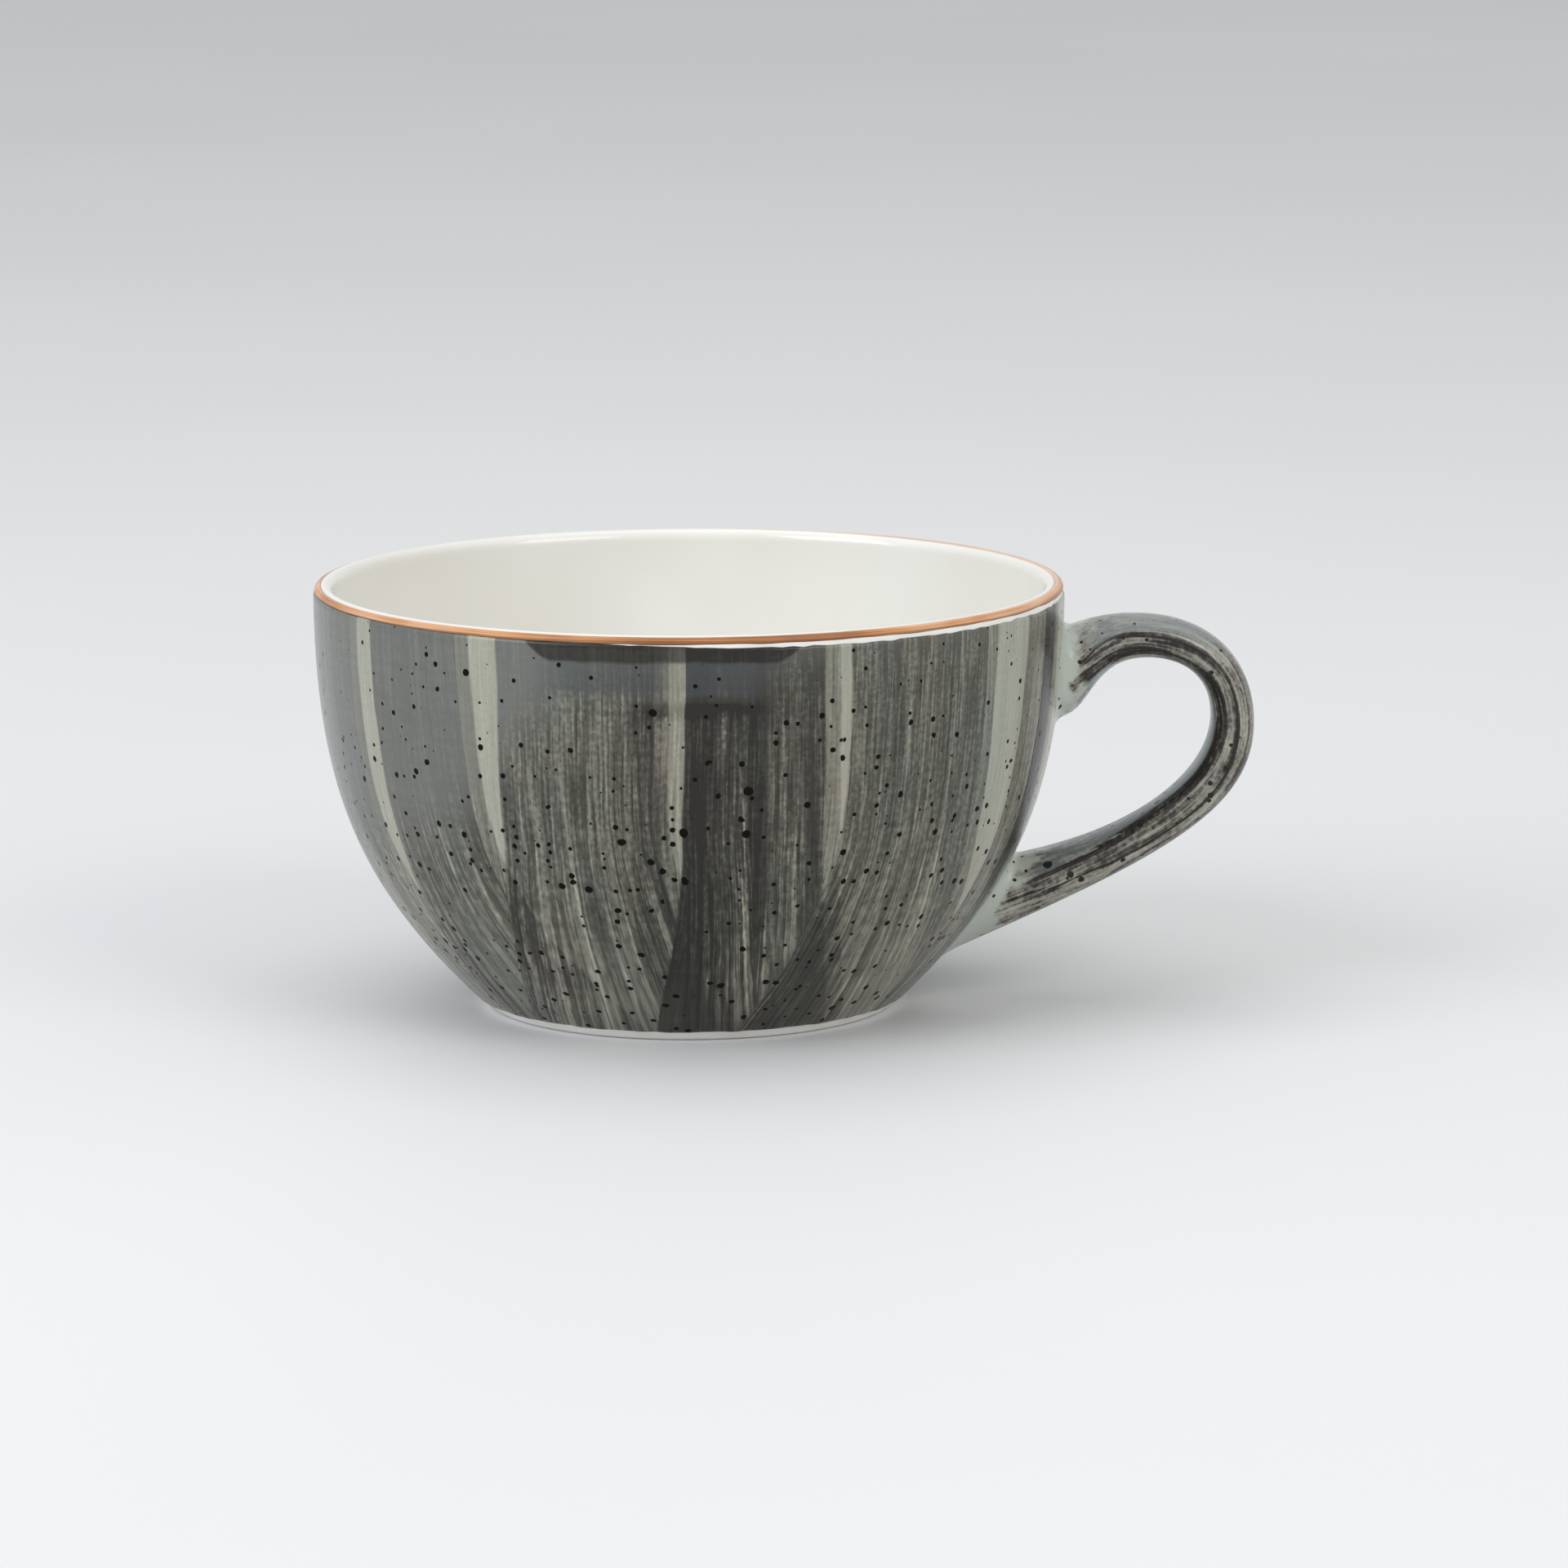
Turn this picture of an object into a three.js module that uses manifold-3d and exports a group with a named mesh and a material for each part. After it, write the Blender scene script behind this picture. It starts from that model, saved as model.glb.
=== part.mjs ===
// A wide porcelain coffee cup with a loop handle, built the way a potter makes it: a turned bowl
// with a foot ring, a handle cast by itself and stuck on with slip at two joints, a white liner
// glaze inside, a brushed grey glaze outside and on the handle, a brown band on the lip and a thin
// glaze in the recess underneath. Millimetres, +Z up, the table at Z = 0, the handle towards +X.
import * as THREE from 'three';
import { mergeVertices } from 'three/addons/utils/BufferGeometryUtils.js';
import Module from 'manifold-3d';

const wasm = await Module();
wasm.setup();

// Bowl, measured over the glaze
const rimDiameter = 100;
const cupHeight = 57;
const lipThickness = 2.6;
const glazeThickness = 0.3;

// Bowl wall: where it leaves the foot and how long it keeps its direction at each end
const footDiameter = 53;
const footCornerRadius = 1.2;
const footWallAngle = 44;
const wallPullAtFoot = 22.3;
const wallPullAtLip = 27.6;

// Inside of the bowl and the underside
const floorHeight = 6.2;
const floorPull = 32;
const innerWallPull = 36;
const footRingWidth = 3.4;
const recessDepth = 2;
const recessSlope = 1.2;
const baseGlazeMargin = 0.8;

// Lines on the outside: the bare foot edge, the band on the lip and the bare line below it
const bareFootEdge = 0.3;
const bandBelowLip = 0.3;
const bareLine = 0.5;
const bandInnerAngle = 120;

// Handle: reaches are from the rim outwards, drops from the rim downwards
const fingerGapReach = 19.6;
const fingerGapDrop = 10.6;
const fingerGapCrest = 11;
const fingerGapSideDrop = 18.5;
const strapThickness = 5.8;
const strapWidth = 9;
const strapCrest = 9.4;
const strapSideDrop = 19.5;
const strapRoundness = 2.4;
const lowerSpreadStart = 0.5;

// How each edge of the handle runs: slopes in degrees at the joints, and how long each stretch
// keeps its direction at its ends, as lengths, or as a share of the bend where it goes round
const outerEdgeRun = { startSlope: 17, startPull: 3, topPull: 4.4, bendShare: 0.61, sidePull: 12.5 };
const outerEdgeEnd = { slope: 24, pull: 30.8 };
const innerEdgeRun = { startSlope: 2, startPull: 4.9, topPull: 7.9, bendShare: 0.62, sidePull: 8.3 };
const innerEdgeEnd = { slope: 10, pull: 15.9 };

// Joints of the handle on the wall: the upper one from the rim, the lower one from the table
const upperJointDrop = 6.6;
const upperJointLength = 12;
const upperJointWidth = 12;
const lowerJointHeight = 6.2;
const lowerJointLength = 13.3;
const lowerJointWidth = 12;

// Slip that holds the handle on, the gap that cut faces keep to each other, and how far the
// uncut ends of the handle go through the wall
const slipThickness = 0.8;
const slipBead = 0.5;
const seatGap = 0.15;
const pushThrough = 4;
const coreOvershoot = 1;

// Fineness of the facets
const turnSteps = 48;
const wallSteps = 11;
const innerSteps = 12;
const bandSteps = 4;
const linerLipSteps = 2;
const cornerSteps = 3;
const strapSides = 16;
const strapSteps = { upper: 6, crest: 7, lower: 10 };
const weldDistance = 1e-4;
const halvings = 40;

const rimRadius = rimDiameter / 2;
const footRadius = footDiameter / 2;
const place = (across, up) => new THREE.Vector2(across, up);
const { degToRad, lerp, smoothstep } = THREE.MathUtils;
const heading = (degrees) => place(Math.cos(degToRad(degrees)), Math.sin(degToRad(degrees)));
const towards = (from, degrees, length) => heading(degrees).multiplyScalar(length).add(from);
const evenly = (from, to, steps) => Array.from({ length: steps + 1 }, (_, i) => lerp(from, to, i / steps));

// Points of a profile curve, moved off it to the right of the way it runs
function besideCurve(curve, parameters, distance) {
  return parameters.map((t) => {
    const along = curve.getTangent(t);
    return curve.getPoint(t).add(place(along.y, -along.x).multiplyScalar(distance));
  });
}

// Parameter at which a rising curve reaches a height, found by halving
function parameterAtHeight(curve, height) {
  let [low, high] = [0, 1];
  for (let i = 0; i < halvings; i += 1) {
    const middle = (low + high) / 2;
    if (curve.getPoint(middle).y < height) {
      low = middle;
    } else {
      high = middle;
    }
  }
  return low;
}

function arc(centre, radius, degrees) {
  return degrees.map((angle) => towards(centre, angle, radius));
}

function revolve(profile) {
  const geometry = new THREE.LatheGeometry(profile, turnSteps);
  geometry.rotateX(Math.PI / 2);
  return geometry;
}

// Bowl: curves of the bare porcelain, on which every glaze lies
const lipCentre = place(rimRadius - lipThickness / 2, cupHeight - lipThickness / 2);
const lipRadius = lipThickness / 2 - glazeThickness;
const footCorner = arc(
  place(footRadius, footCornerRadius),
  footCornerRadius,
  evenly(-90, footWallAngle - 90, cornerSteps),
);
const wallStart = footCorner[cornerSteps];
const wallEnd = place(lipCentre.x + lipRadius, lipCentre.y);
const wall = new THREE.CubicBezierCurve(
  wallStart,
  towards(wallStart, footWallAngle, wallPullAtFoot),
  place(wallEnd.x, wallEnd.y - wallPullAtLip),
  wallEnd,
);
const innerTop = place(lipCentre.x - lipRadius, lipCentre.y);
const innerFloor = place(0, floorHeight - glazeThickness);
const innerWall = new THREE.CubicBezierCurve(
  innerTop,
  place(innerTop.x, innerTop.y - innerWallPull),
  place(floorPull, innerFloor.y),
  innerFloor,
);

// Stations on the wall: the glaze's two edges, the band's lower edge, and even steps between
const bandFoot = lipCentre.y - bandBelowLip;
const glazeStations = evenly(
  parameterAtHeight(wall, wallStart.y + bareFootEdge),
  parameterAtHeight(wall, bandFoot - bareLine),
  wallSteps,
);
const bandStation = parameterAtHeight(wall, bandFoot);
const innerStations = evenly(0, 1, innerSteps).slice(1, -1);
const bandAngles = evenly(0, bandInnerAngle, bandSteps);
const linerAngles = evenly(bandInnerAngle, 180, linerLipSteps);

function makeBowl() {
  const recessRadius = footRadius - footRingWidth - recessSlope;
  return revolve([
    place(0, recessDepth),
    place(recessRadius, recessDepth),
    place(recessRadius + recessSlope, 0),
    ...footCorner,
    ...besideCurve(wall, [...glazeStations, bandStation], 0),
    ...arc(lipCentre, lipRadius, [...bandAngles, ...linerAngles.slice(1)]),
    ...besideCurve(innerWall, innerStations, 0),
    innerFloor,
  ]);
}

function makeLinerGlaze() {
  const bare = [
    ...arc(lipCentre, lipRadius, linerAngles),
    ...besideCurve(innerWall, innerStations, 0),
    innerFloor,
  ];
  const face = [
    ...arc(lipCentre, lipThickness / 2, linerAngles),
    ...besideCurve(innerWall, innerStations, glazeThickness),
    place(0, floorHeight),
  ];
  return revolve([...bare.reverse(), ...face]);
}

function makeRimBand() {
  const bare = [...besideCurve(wall, [bandStation], 0), ...arc(lipCentre, lipRadius, bandAngles)];
  const face = [
    ...besideCurve(wall, [bandStation], glazeThickness),
    ...arc(lipCentre, lipThickness / 2, bandAngles),
  ];
  return revolve([...face, ...bare.reverse(), face[0]]);
}

function makeBaseGlaze() {
  const glazeRadius = footRadius - footRingWidth - recessSlope - baseGlazeMargin;
  return revolve([
    place(0, recessDepth - glazeThickness),
    place(glazeRadius, recessDepth - glazeThickness),
    place(glazeRadius, recessDepth),
    place(0, recessDepth),
  ]);
}

// Solids for cutting: a welded mesh without the empty triangles that lie on a lathe's axis
function solidFrom(geometry) {
  const bare = new THREE.BufferGeometry();
  bare.setAttribute('position', geometry.getAttribute('position').clone());
  bare.setIndex(geometry.getIndex().clone());
  const welded = mergeVertices(bare, weldDistance);
  const corners = welded.getIndex().array;
  const triVerts = [];
  for (let i = 0; i < corners.length; i += 3) {
    const [a, b, c] = corners.slice(i, i + 3);
    if (a !== b && b !== c && c !== a) {
      triVerts.push(a, b, c);
    }
  }
  return new wasm.Manifold(new wasm.Mesh({
    numProp: 3,
    vertProperties: new Float32Array(welded.getAttribute('position').array),
    triVerts: new Uint32Array(triVerts),
  }));
}

function geometryFrom(solid) {
  const mesh = solid.getMesh();
  const geometry = new THREE.BufferGeometry();
  geometry.setAttribute('position', new THREE.BufferAttribute(mesh.vertProperties, 3));
  geometry.setIndex(new THREE.BufferAttribute(mesh.triVerts, 1));
  geometry.computeVertexNormals();
  return geometry;
}

// Everything inside the bare wall moved out by a distance, which cuts what stands on the wall
function wallPlug(distance) {
  const face = besideCurve(wall, glazeStations, distance);
  return solidFrom(revolve([place(0, face[0].y), ...face, place(0, face[face.length - 1].y)]));
}

// Handle: its outer and inner edges seen from the side, each as three curves from joint to joint
const onWall = (height) => besideCurve(wall, [parameterAtHeight(wall, height)], glazeThickness)[0];
const upperJointTop = onWall(cupHeight - upperJointDrop);
const upperJointFoot = onWall(cupHeight - upperJointDrop - upperJointLength);
const lowerJointTop = onWall(lowerJointHeight + lowerJointLength);
const lowerJointFoot = onWall(lowerJointHeight);
const gapTop = place(rimRadius + fingerGapCrest, cupHeight - fingerGapDrop);
const gapSide = place(rimRadius + fingerGapReach, cupHeight - fingerGapSideDrop);
const strapTop = place(rimRadius + strapCrest, gapTop.y + strapThickness);
const strapSide = place(gapSide.x + strapThickness, cupHeight - strapSideDrop);

function edgeCurves(start, top, side, finish, run, end) {
  const bendOut = (side.x - top.x) * run.bendShare;
  const bendUp = (top.y - side.y) * run.bendShare;
  const pulls = [
    [start, towards(start, run.startSlope, run.startPull), towards(top, 180, run.topPull), top],
    [top, towards(top, 0, bendOut), towards(side, 90, bendUp), side],
    [side, towards(side, -90, run.sidePull), towards(finish, end.slope, end.pull), finish],
  ];
  return pulls.map((points) => new THREE.CubicBezierCurve(...points));
}

const outerEdge = edgeCurves(upperJointTop, strapTop, strapSide, lowerJointFoot, outerEdgeRun, outerEdgeEnd);
const innerEdge = edgeCurves(upperJointFoot, gapTop, gapSide, lowerJointTop, innerEdgeRun, innerEdgeEnd);

// Width of the strap along each of the three stretches: it spreads towards both joints
const strapWidths = [
  (t) => lerp(upperJointWidth, strapWidth, smoothstep(t, 0, 1)),
  () => strapWidth,
  (t) => lerp(strapWidth, lowerJointWidth, smoothstep(t, lowerSpreadStart, 1)),
];

// One rounded section of the strap, between an inner and an outer edge point, grown by a margin
function strapSection(inner, outer, width, margin) {
  const middle = inner.clone().add(outer).divideScalar(2);
  const half = outer.clone().sub(middle);
  half.setLength(half.length() + margin);
  const power = 2 / strapRoundness;
  const bulge = (value) => Math.sign(value) * Math.abs(value) ** power;
  return evenly(0, 2 * Math.PI, strapSides).slice(0, -1).map((angle) => {
    const spot = half.clone().multiplyScalar(bulge(Math.cos(angle))).add(middle);
    return new THREE.Vector3(spot.x, (width / 2 + margin) * bulge(Math.sin(angle)), spot.y);
  });
}

// Sections of the whole strap, with one more at each end pushed through the wall
function strapSections(margin, push) {
  const steps = [strapSteps.upper, strapSteps.crest, strapSteps.lower];
  const sections = steps.flatMap((count, stretch) =>
    evenly(0, 1, count).slice(stretch === 0 ? 0 : 1).map((t) =>
      strapSection(
        innerEdge[stretch].getPoint(t),
        outerEdge[stretch].getPoint(t),
        strapWidths[stretch](t),
        margin,
      )));
  const pushed = (section, top, foot) => {
    const along = top.clone().sub(foot).normalize();
    const inward = new THREE.Vector3(-along.y, 0, along.x).multiplyScalar(push);
    return section.map((spot) => spot.clone().add(inward));
  };
  return [
    pushed(sections[0], upperJointTop, upperJointFoot),
    ...sections,
    pushed(sections[sections.length - 1], lowerJointTop, lowerJointFoot),
  ];
}

// A closed skin over a row of sections, with a fan of triangles over each end
function loft(sections) {
  const sides = sections[0].length;
  const middleOf = (section) =>
    section.reduce((sum, spot) => sum.add(spot), new THREE.Vector3()).divideScalar(sides);
  const last = sections.length - 1;
  const spots = [...sections.flat(), middleOf(sections[0]), middleOf(sections[last])];
  const firstMiddle = sections.length * sides;
  const index = [];
  for (let side = 0; side < sides; side += 1) {
    const next = (side + 1) % sides;
    for (let row = 0; row < last; row += 1) {
      const [a, b] = [row * sides + side, row * sides + next];
      const [c, d] = [a + sides, b + sides];
      index.push(a, c, b, b, c, d);
    }
    index.push(firstMiddle, side, next);
    index.push(firstMiddle + 1, last * sides + next, last * sides + side);
  }
  const geometry = new THREE.BufferGeometry().setFromPoints(spots);
  geometry.setIndex(index);
  return geometry;
}

const slipFace = seatGap + slipThickness;
const handleFace = slipFace + seatGap;
const strapSolid = solidFrom(loft(strapSections(0, pushThrough)));
const coreSolid = solidFrom(loft(strapSections(-glazeThickness, pushThrough + coreOvershoot)));
const handlePlug = wallPlug(handleFace);

// Slip joints: the strap's ends, a little wider, between two faces that follow the wall
function makeSlipJoint(sections) {
  const end = solidFrom(loft(sections));
  return end.intersect(wallPlug(slipFace)).subtract(wallPlug(seatGap));
}

const slipSections = strapSections(slipBead, pushThrough);
const holeSections = strapSections(slipBead + seatGap, pushThrough);
const upperEnd = (sections) => sections.slice(0, strapSteps.upper);
const lowerEnd = (sections) => sections.slice(-strapSteps.lower);

// The outer glaze leaves the wall bare under each joint, where the slip holds on the porcelain
function makeOuterGlaze() {
  const bare = besideCurve(wall, glazeStations, 0);
  const face = besideCurve(wall, glazeStations, glazeThickness);
  return solidFrom(revolve([...face, ...bare.reverse(), face[0]]))
    .subtract(solidFrom(loft(upperEnd(holeSections))))
    .subtract(solidFrom(loft(lowerEnd(holeSections))));
}

// Finishes, by the colours of the real surfaces
const finish = (color, roughness) => new THREE.MeshStandardMaterial({ color, roughness, metalness: 0 });
const barePorcelain = finish(0xe9e6df, 0.5);
const whiteGlaze = finish(0xecebe6, 0.12);
const greyGlaze = finish(0x706e69, 0.16);
const brownGlaze = finish(0xb27d55, 0.25);
const paleSlip = finish(0xb9c1bb, 0.3);

const cup = new THREE.Group();
cup.position.x = (rimRadius - strapSide.x) / 2;

function addPiece(name, geometry, material) {
  const mesh = new THREE.Mesh(geometry, material.clone());
  mesh.name = name;
  cup.add(mesh);
}

addPiece('bowl', makeBowl(), barePorcelain);
addPiece('liner_glaze', makeLinerGlaze(), whiteGlaze);
addPiece('outer_glaze', geometryFrom(makeOuterGlaze()), greyGlaze);
addPiece('rim_band', makeRimBand(), brownGlaze);
addPiece('base_glaze', makeBaseGlaze(), whiteGlaze);
addPiece('handle', geometryFrom(coreSolid.subtract(handlePlug)), barePorcelain);
addPiece('handle_glaze', geometryFrom(strapSolid.subtract(coreSolid).subtract(handlePlug)), greyGlaze);
addPiece('upper_slip_joint', geometryFrom(makeSlipJoint(upperEnd(slipSections))), paleSlip);
addPiece('lower_slip_joint', geometryFrom(makeSlipJoint(lowerEnd(slipSections))), paleSlip);

export default cup;
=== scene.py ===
# %% [markdown]
# A wide porcelain coffee cup with a loop handle. The bowl was turned, the handle was cast by itself
# and stuck on with slip, and then the coats were brushed on: white inside, grey outside and round the
# handle, brown on the lip. This lesson builds each coat as its own thin closed shell, as the potter
# laid it on, because every edge where a coat stops then shows as a real edge.

import math
import random

import bmesh
import bpy
import numpy as np
from mathutils import Matrix, Vector
from mathutils.geometry import interpolate_bezier


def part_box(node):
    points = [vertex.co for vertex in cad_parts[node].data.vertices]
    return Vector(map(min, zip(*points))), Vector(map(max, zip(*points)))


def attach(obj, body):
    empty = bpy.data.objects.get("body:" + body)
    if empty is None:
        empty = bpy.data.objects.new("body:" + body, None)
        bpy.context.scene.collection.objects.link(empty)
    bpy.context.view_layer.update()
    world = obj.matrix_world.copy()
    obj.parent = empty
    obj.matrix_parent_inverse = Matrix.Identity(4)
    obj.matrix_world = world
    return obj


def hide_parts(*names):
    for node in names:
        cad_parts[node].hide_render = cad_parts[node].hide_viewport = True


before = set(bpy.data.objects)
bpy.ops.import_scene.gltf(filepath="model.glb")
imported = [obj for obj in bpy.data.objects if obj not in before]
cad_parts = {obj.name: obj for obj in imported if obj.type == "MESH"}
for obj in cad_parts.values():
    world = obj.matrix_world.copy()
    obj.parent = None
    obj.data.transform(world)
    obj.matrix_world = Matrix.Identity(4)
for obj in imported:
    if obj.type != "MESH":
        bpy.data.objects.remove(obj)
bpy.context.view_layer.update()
print("frame holds", ", ".join(sorted(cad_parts)))

# %% [markdown]
# The frame gives the places and the overall sizes: the axis of the bowl, the rim's radius and the
# height. Blender works in metres, and a cup is easier to think about in millimetres, so all sizes
# here are in millimetres and are turned to metres once, when a mesh is made.

# %% Sizes from the frame
MM = 0.001
rim_low, rim_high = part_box("rim_band")
bowl_axis = (rim_low.x + rim_high.x) / 2 / MM
rim_radius = (rim_high.x - rim_low.x) / 2 / MM
cup_height = rim_high.z / MM
print(f"rim radius {rim_radius:.1f} mm, height {cup_height:.1f} mm, axis at x {bowl_axis:.1f} mm")

# %% [markdown]
# The bowl is a body of revolution, so half of its outline is all that is drawn. The outline is a few
# Bezier stretches: a round foot corner, one long curve for the wall, a round lip and one long curve
# for the inside. A polyline traced by eye would do too, but a Bezier keeps its curvature even, which
# matters on a glossy glaze where every flat spot shows in the reflections.

# %% Outline of the bare porcelain
lip_thickness = 2.6
glaze_thickness = 0.3
foot_radius = 26.5
foot_corner_radius = 1.2
foot_wall_angle = 44
wall_pull_at_foot = 22.3
wall_pull_at_lip = 27.6
floor_height = 6.2
floor_pull = 32
inner_wall_pull = 36
CURVE_STEPS = 160
ARC_STEPS = 24


def curve(start, pull_start, pull_end, end):
    """Points of one Bezier stretch, as rows of (radius, height)."""
    ends = [Vector(point) for point in (start, pull_start, pull_end, end)]
    return np.array(interpolate_bezier(*ends, CURVE_STEPS + 1))


def arc(centre, radius, start_degrees, end_degrees):
    """Points of a round stretch, as rows of (radius, height)."""
    angles = np.radians(np.linspace(start_degrees, end_degrees, ARC_STEPS + 1))
    return np.array(centre) + radius * np.column_stack([np.cos(angles), np.sin(angles)])


def towards(start, degrees, length):
    """The point at a length from another one, in a direction."""
    angle = math.radians(degrees)
    return (start[0] + length * math.cos(angle), start[1] + length * math.sin(angle))


lip_centre = (rim_radius - lip_thickness / 2, cup_height - lip_thickness / 2)
lip_radius = lip_thickness / 2 - glaze_thickness
foot_corner = arc((foot_radius, foot_corner_radius), foot_corner_radius, -90, foot_wall_angle - 90)
wall_start = tuple(foot_corner[-1])
wall_end = (lip_centre[0] + lip_radius, lip_centre[1])
wall = curve(
    wall_start,
    towards(wall_start, foot_wall_angle, wall_pull_at_foot),
    (wall_end[0], wall_end[1] - wall_pull_at_lip),
    wall_end,
)
inner_top = (lip_centre[0] - lip_radius, lip_centre[1])
inner_floor = (0, floor_height - glaze_thickness)
inner_wall = curve(
    inner_top,
    (inner_top[0], inner_top[1] - inner_wall_pull),
    (floor_pull, inner_floor[1]),
    inner_floor,
)
print(f"wall leaves the foot at radius {wall_start[0]:.1f} mm and ends at {wall_end[0]:.1f} mm")

# %% [markdown]
# A coat of glaze lies on a stretch of that outline. Its face is the same stretch moved out by the
# coat's thickness, and at both edges the surface tension of the melt rounds it down to nothing. So a
# coat is one closed loop: out along the rounded face and back along the porcelain. The points stand
# closer together towards the edges, where the rounding is.

# %% Loops for coats
EDGE_ROUNDING = 0.45


def lengths_along(points):
    """Distance of each point from the start of the line."""
    steps = np.linalg.norm(np.diff(points, axis=0), axis=1)
    return np.concatenate([[0], np.cumsum(steps)])


def closer_at_ends(points, count):
    """The same line with count points that crowd towards both ends."""
    run = lengths_along(points)
    stations = run[-1] * (1 - np.cos(np.linspace(0, math.pi, count))) / 2
    return np.column_stack([np.interp(stations, run, points[:, axis]) for axis in (0, 1)])


def beside(points, distance):
    """A line moved to the right of the way it runs, by one distance or by one for each point."""
    way = np.gradient(points, axis=0)
    way /= np.linalg.norm(way, axis=1, keepdims=True)
    return points + np.column_stack([way[:, 1], -way[:, 0]]) * np.reshape(distance, (-1, 1))


def coat(bare, thickness, round_start=True):
    """Closed loop of a coat on a bare line: the face, rounded down at its edges, and the way back."""
    run = lengths_along(bare)
    to_edge = np.minimum(run, run[-1] - run) if round_start else run[-1] - run
    share = np.clip(to_edge / EDGE_ROUNDING, 0, 1)
    face = beside(bare, thickness * np.sqrt(1 - (1 - share) ** 2))
    return np.concatenate([face, bare[::-1]])


print(f"coats are {glaze_thickness} mm thick and round down over {EDGE_ROUNDING} mm at their edges")

# %% [markdown]
# Every turned piece is made the same way: a few hundred vertices drawn as the loop, and one spin of
# the whole loop round the axis. A Screw modifier would give the same shape, but the operator leaves
# a plain mesh whose vertices can still be nudged, and the coats' edges need that. After a spin the
# doubles on the axis are merged and the normals recalculated, in this order.

# %% Spin and finish helpers
TURN_STEPS = 224
MERGE_DISTANCE = 1e-7
SHARP_ANGLE = math.radians(50)


def spun(profile):
    """A bmesh, in metres, of a closed loop of (radius, height) turned once round the bowl's axis."""
    work = bmesh.new()
    corners = [work.verts.new(((bowl_axis + r) * MM, 0, z * MM)) for r, z in profile]
    for corner, following in zip(corners, corners[1:] + corners[:1]):
        on_axis = max(corner.co.x, following.co.x) - bowl_axis * MM < MERGE_DISTANCE
        if not on_axis and (corner.co - following.co).length > MERGE_DISTANCE:
            work.edges.new((corner, following))
    bmesh.ops.spin(
        work,
        geom=work.verts[:] + work.edges[:],
        cent=(bowl_axis * MM, 0, 0),
        axis=(0, 0, 1),
        angle=2 * math.pi,
        steps=TURN_STEPS,
        use_merge=True,
    )
    bmesh.ops.remove_doubles(work, verts=work.verts, dist=MERGE_DISTANCE)
    bmesh.ops.recalc_face_normals(work, faces=work.faces)
    return work


def finished(work, name, node, material):
    """Makes a bmesh an object, smooth but for its sharp corners, that stands for one CAD node."""
    for face in work.faces:
        face.smooth = True
    for edge in work.edges:
        edge.smooth = edge.calc_face_angle(0) < SHARP_ANGLE
    mesh = bpy.data.meshes.new(name)
    work.to_mesh(mesh)
    work.free()
    mesh.materials.append(material)
    piece = bpy.data.objects.new(name, mesh)
    bpy.context.scene.collection.objects.link(piece)
    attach(piece, "root")
    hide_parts(node)
    print(f"{name}: {len(mesh.vertices)} vertices, {len(mesh.polygons)} faces")


print(f"turned pieces have {TURN_STEPS} steps round the axis")

# %% [markdown]
# Colours are written as sRGB hex values, as a paint program shows them. Shaders work in linear light,
# so one function turns them. Another one adds a node, sets it and links it: a link may name a node,
# whose first live output is then used, a socket or a plain value.

# %% Colour and node helpers
def linear(hex_colour):
    """An sRGB hex colour as linear RGBA."""
    channels = [int(hex_colour[i:i + 2], 16) / 255 for i in (1, 3, 5)]
    bright = [c / 12.92 if c <= 0.04045 else ((c + 0.055) / 1.055) ** 2.4 for c in channels]
    return (*bright, 1)


def fill(tree, node, links):
    """Fills a node's inputs, by name or number, with nodes, sockets or plain values."""
    live = [socket for socket in node.inputs if socket.enabled]
    for key, value in links.items():
        named = (socket for socket in live if socket.name == key)
        target = live[key] if isinstance(key, int) else next(named)
        if isinstance(value, bpy.types.Node):
            value = next(socket for socket in value.outputs if socket.enabled)
        if isinstance(value, bpy.types.NodeSocket):
            tree.links.new(value, target)
        else:
            target.default_value = value


def add_node(tree, kind, links=None, **settings):
    """Adds a node with its settings and links."""
    node = tree.nodes.new(kind)
    for name, value in settings.items():
        setattr(node, name, value)
    fill(tree, node, links or {})
    return node


def set_stops(ramp_node, stops):
    """Gives a colour ramp its stops: pairs of a place from 0 to 1 and a hex colour."""
    elements = ramp_node.color_ramp.elements
    while len(elements) < len(stops):
        elements.new(1)
    for element, (place, colour) in zip(elements, stops):
        element.position = place
        element.color = linear(colour)


def new_material(name, **sockets):
    """A material with one Principled shader, and the shader's plain values set on its sockets."""
    material = bpy.data.materials.new(name)
    material.use_nodes = True
    shader = material.node_tree.nodes["Principled BSDF"]
    for socket, value in sockets.items():
        shader.inputs[socket.replace("_", " ")].default_value = value
    return material, material.node_tree, shader


MATH = "ShaderNodeMath"
VECTOR_MATH = "ShaderNodeVectorMath"
MAP_RANGE = "ShaderNodeMapRange"
MIX = "ShaderNodeMix"
NOISE = "ShaderNodeTexNoise"
VORONOI = "ShaderNodeTexVoronoi"
RAMP = "ShaderNodeValToRGB"
BUMP = "ShaderNodeBump"
GLAZE_IOR = 1.5
print("middle grey is", round(linear("#808080")[0], 3), "in linear light")

# %% [markdown]
# All patterns on the bowl are laid out in millimetres about the bowl's own axis. A Mapping node moves
# the object coordinates there and scales metres to millimetres. Radius, height and the angle round
# the axis come from that. A noise that is fed with the angle itself would show a seam at the back,
# where the angle jumps, so noises get the point on the rim circle in that direction instead. Noise
# mostly lies between 0.3 and 0.7, and is spread from there to the range that a finish needs.

# %% Places on the bowl
USUAL_NOISE = (0.3, 0.7)


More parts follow.
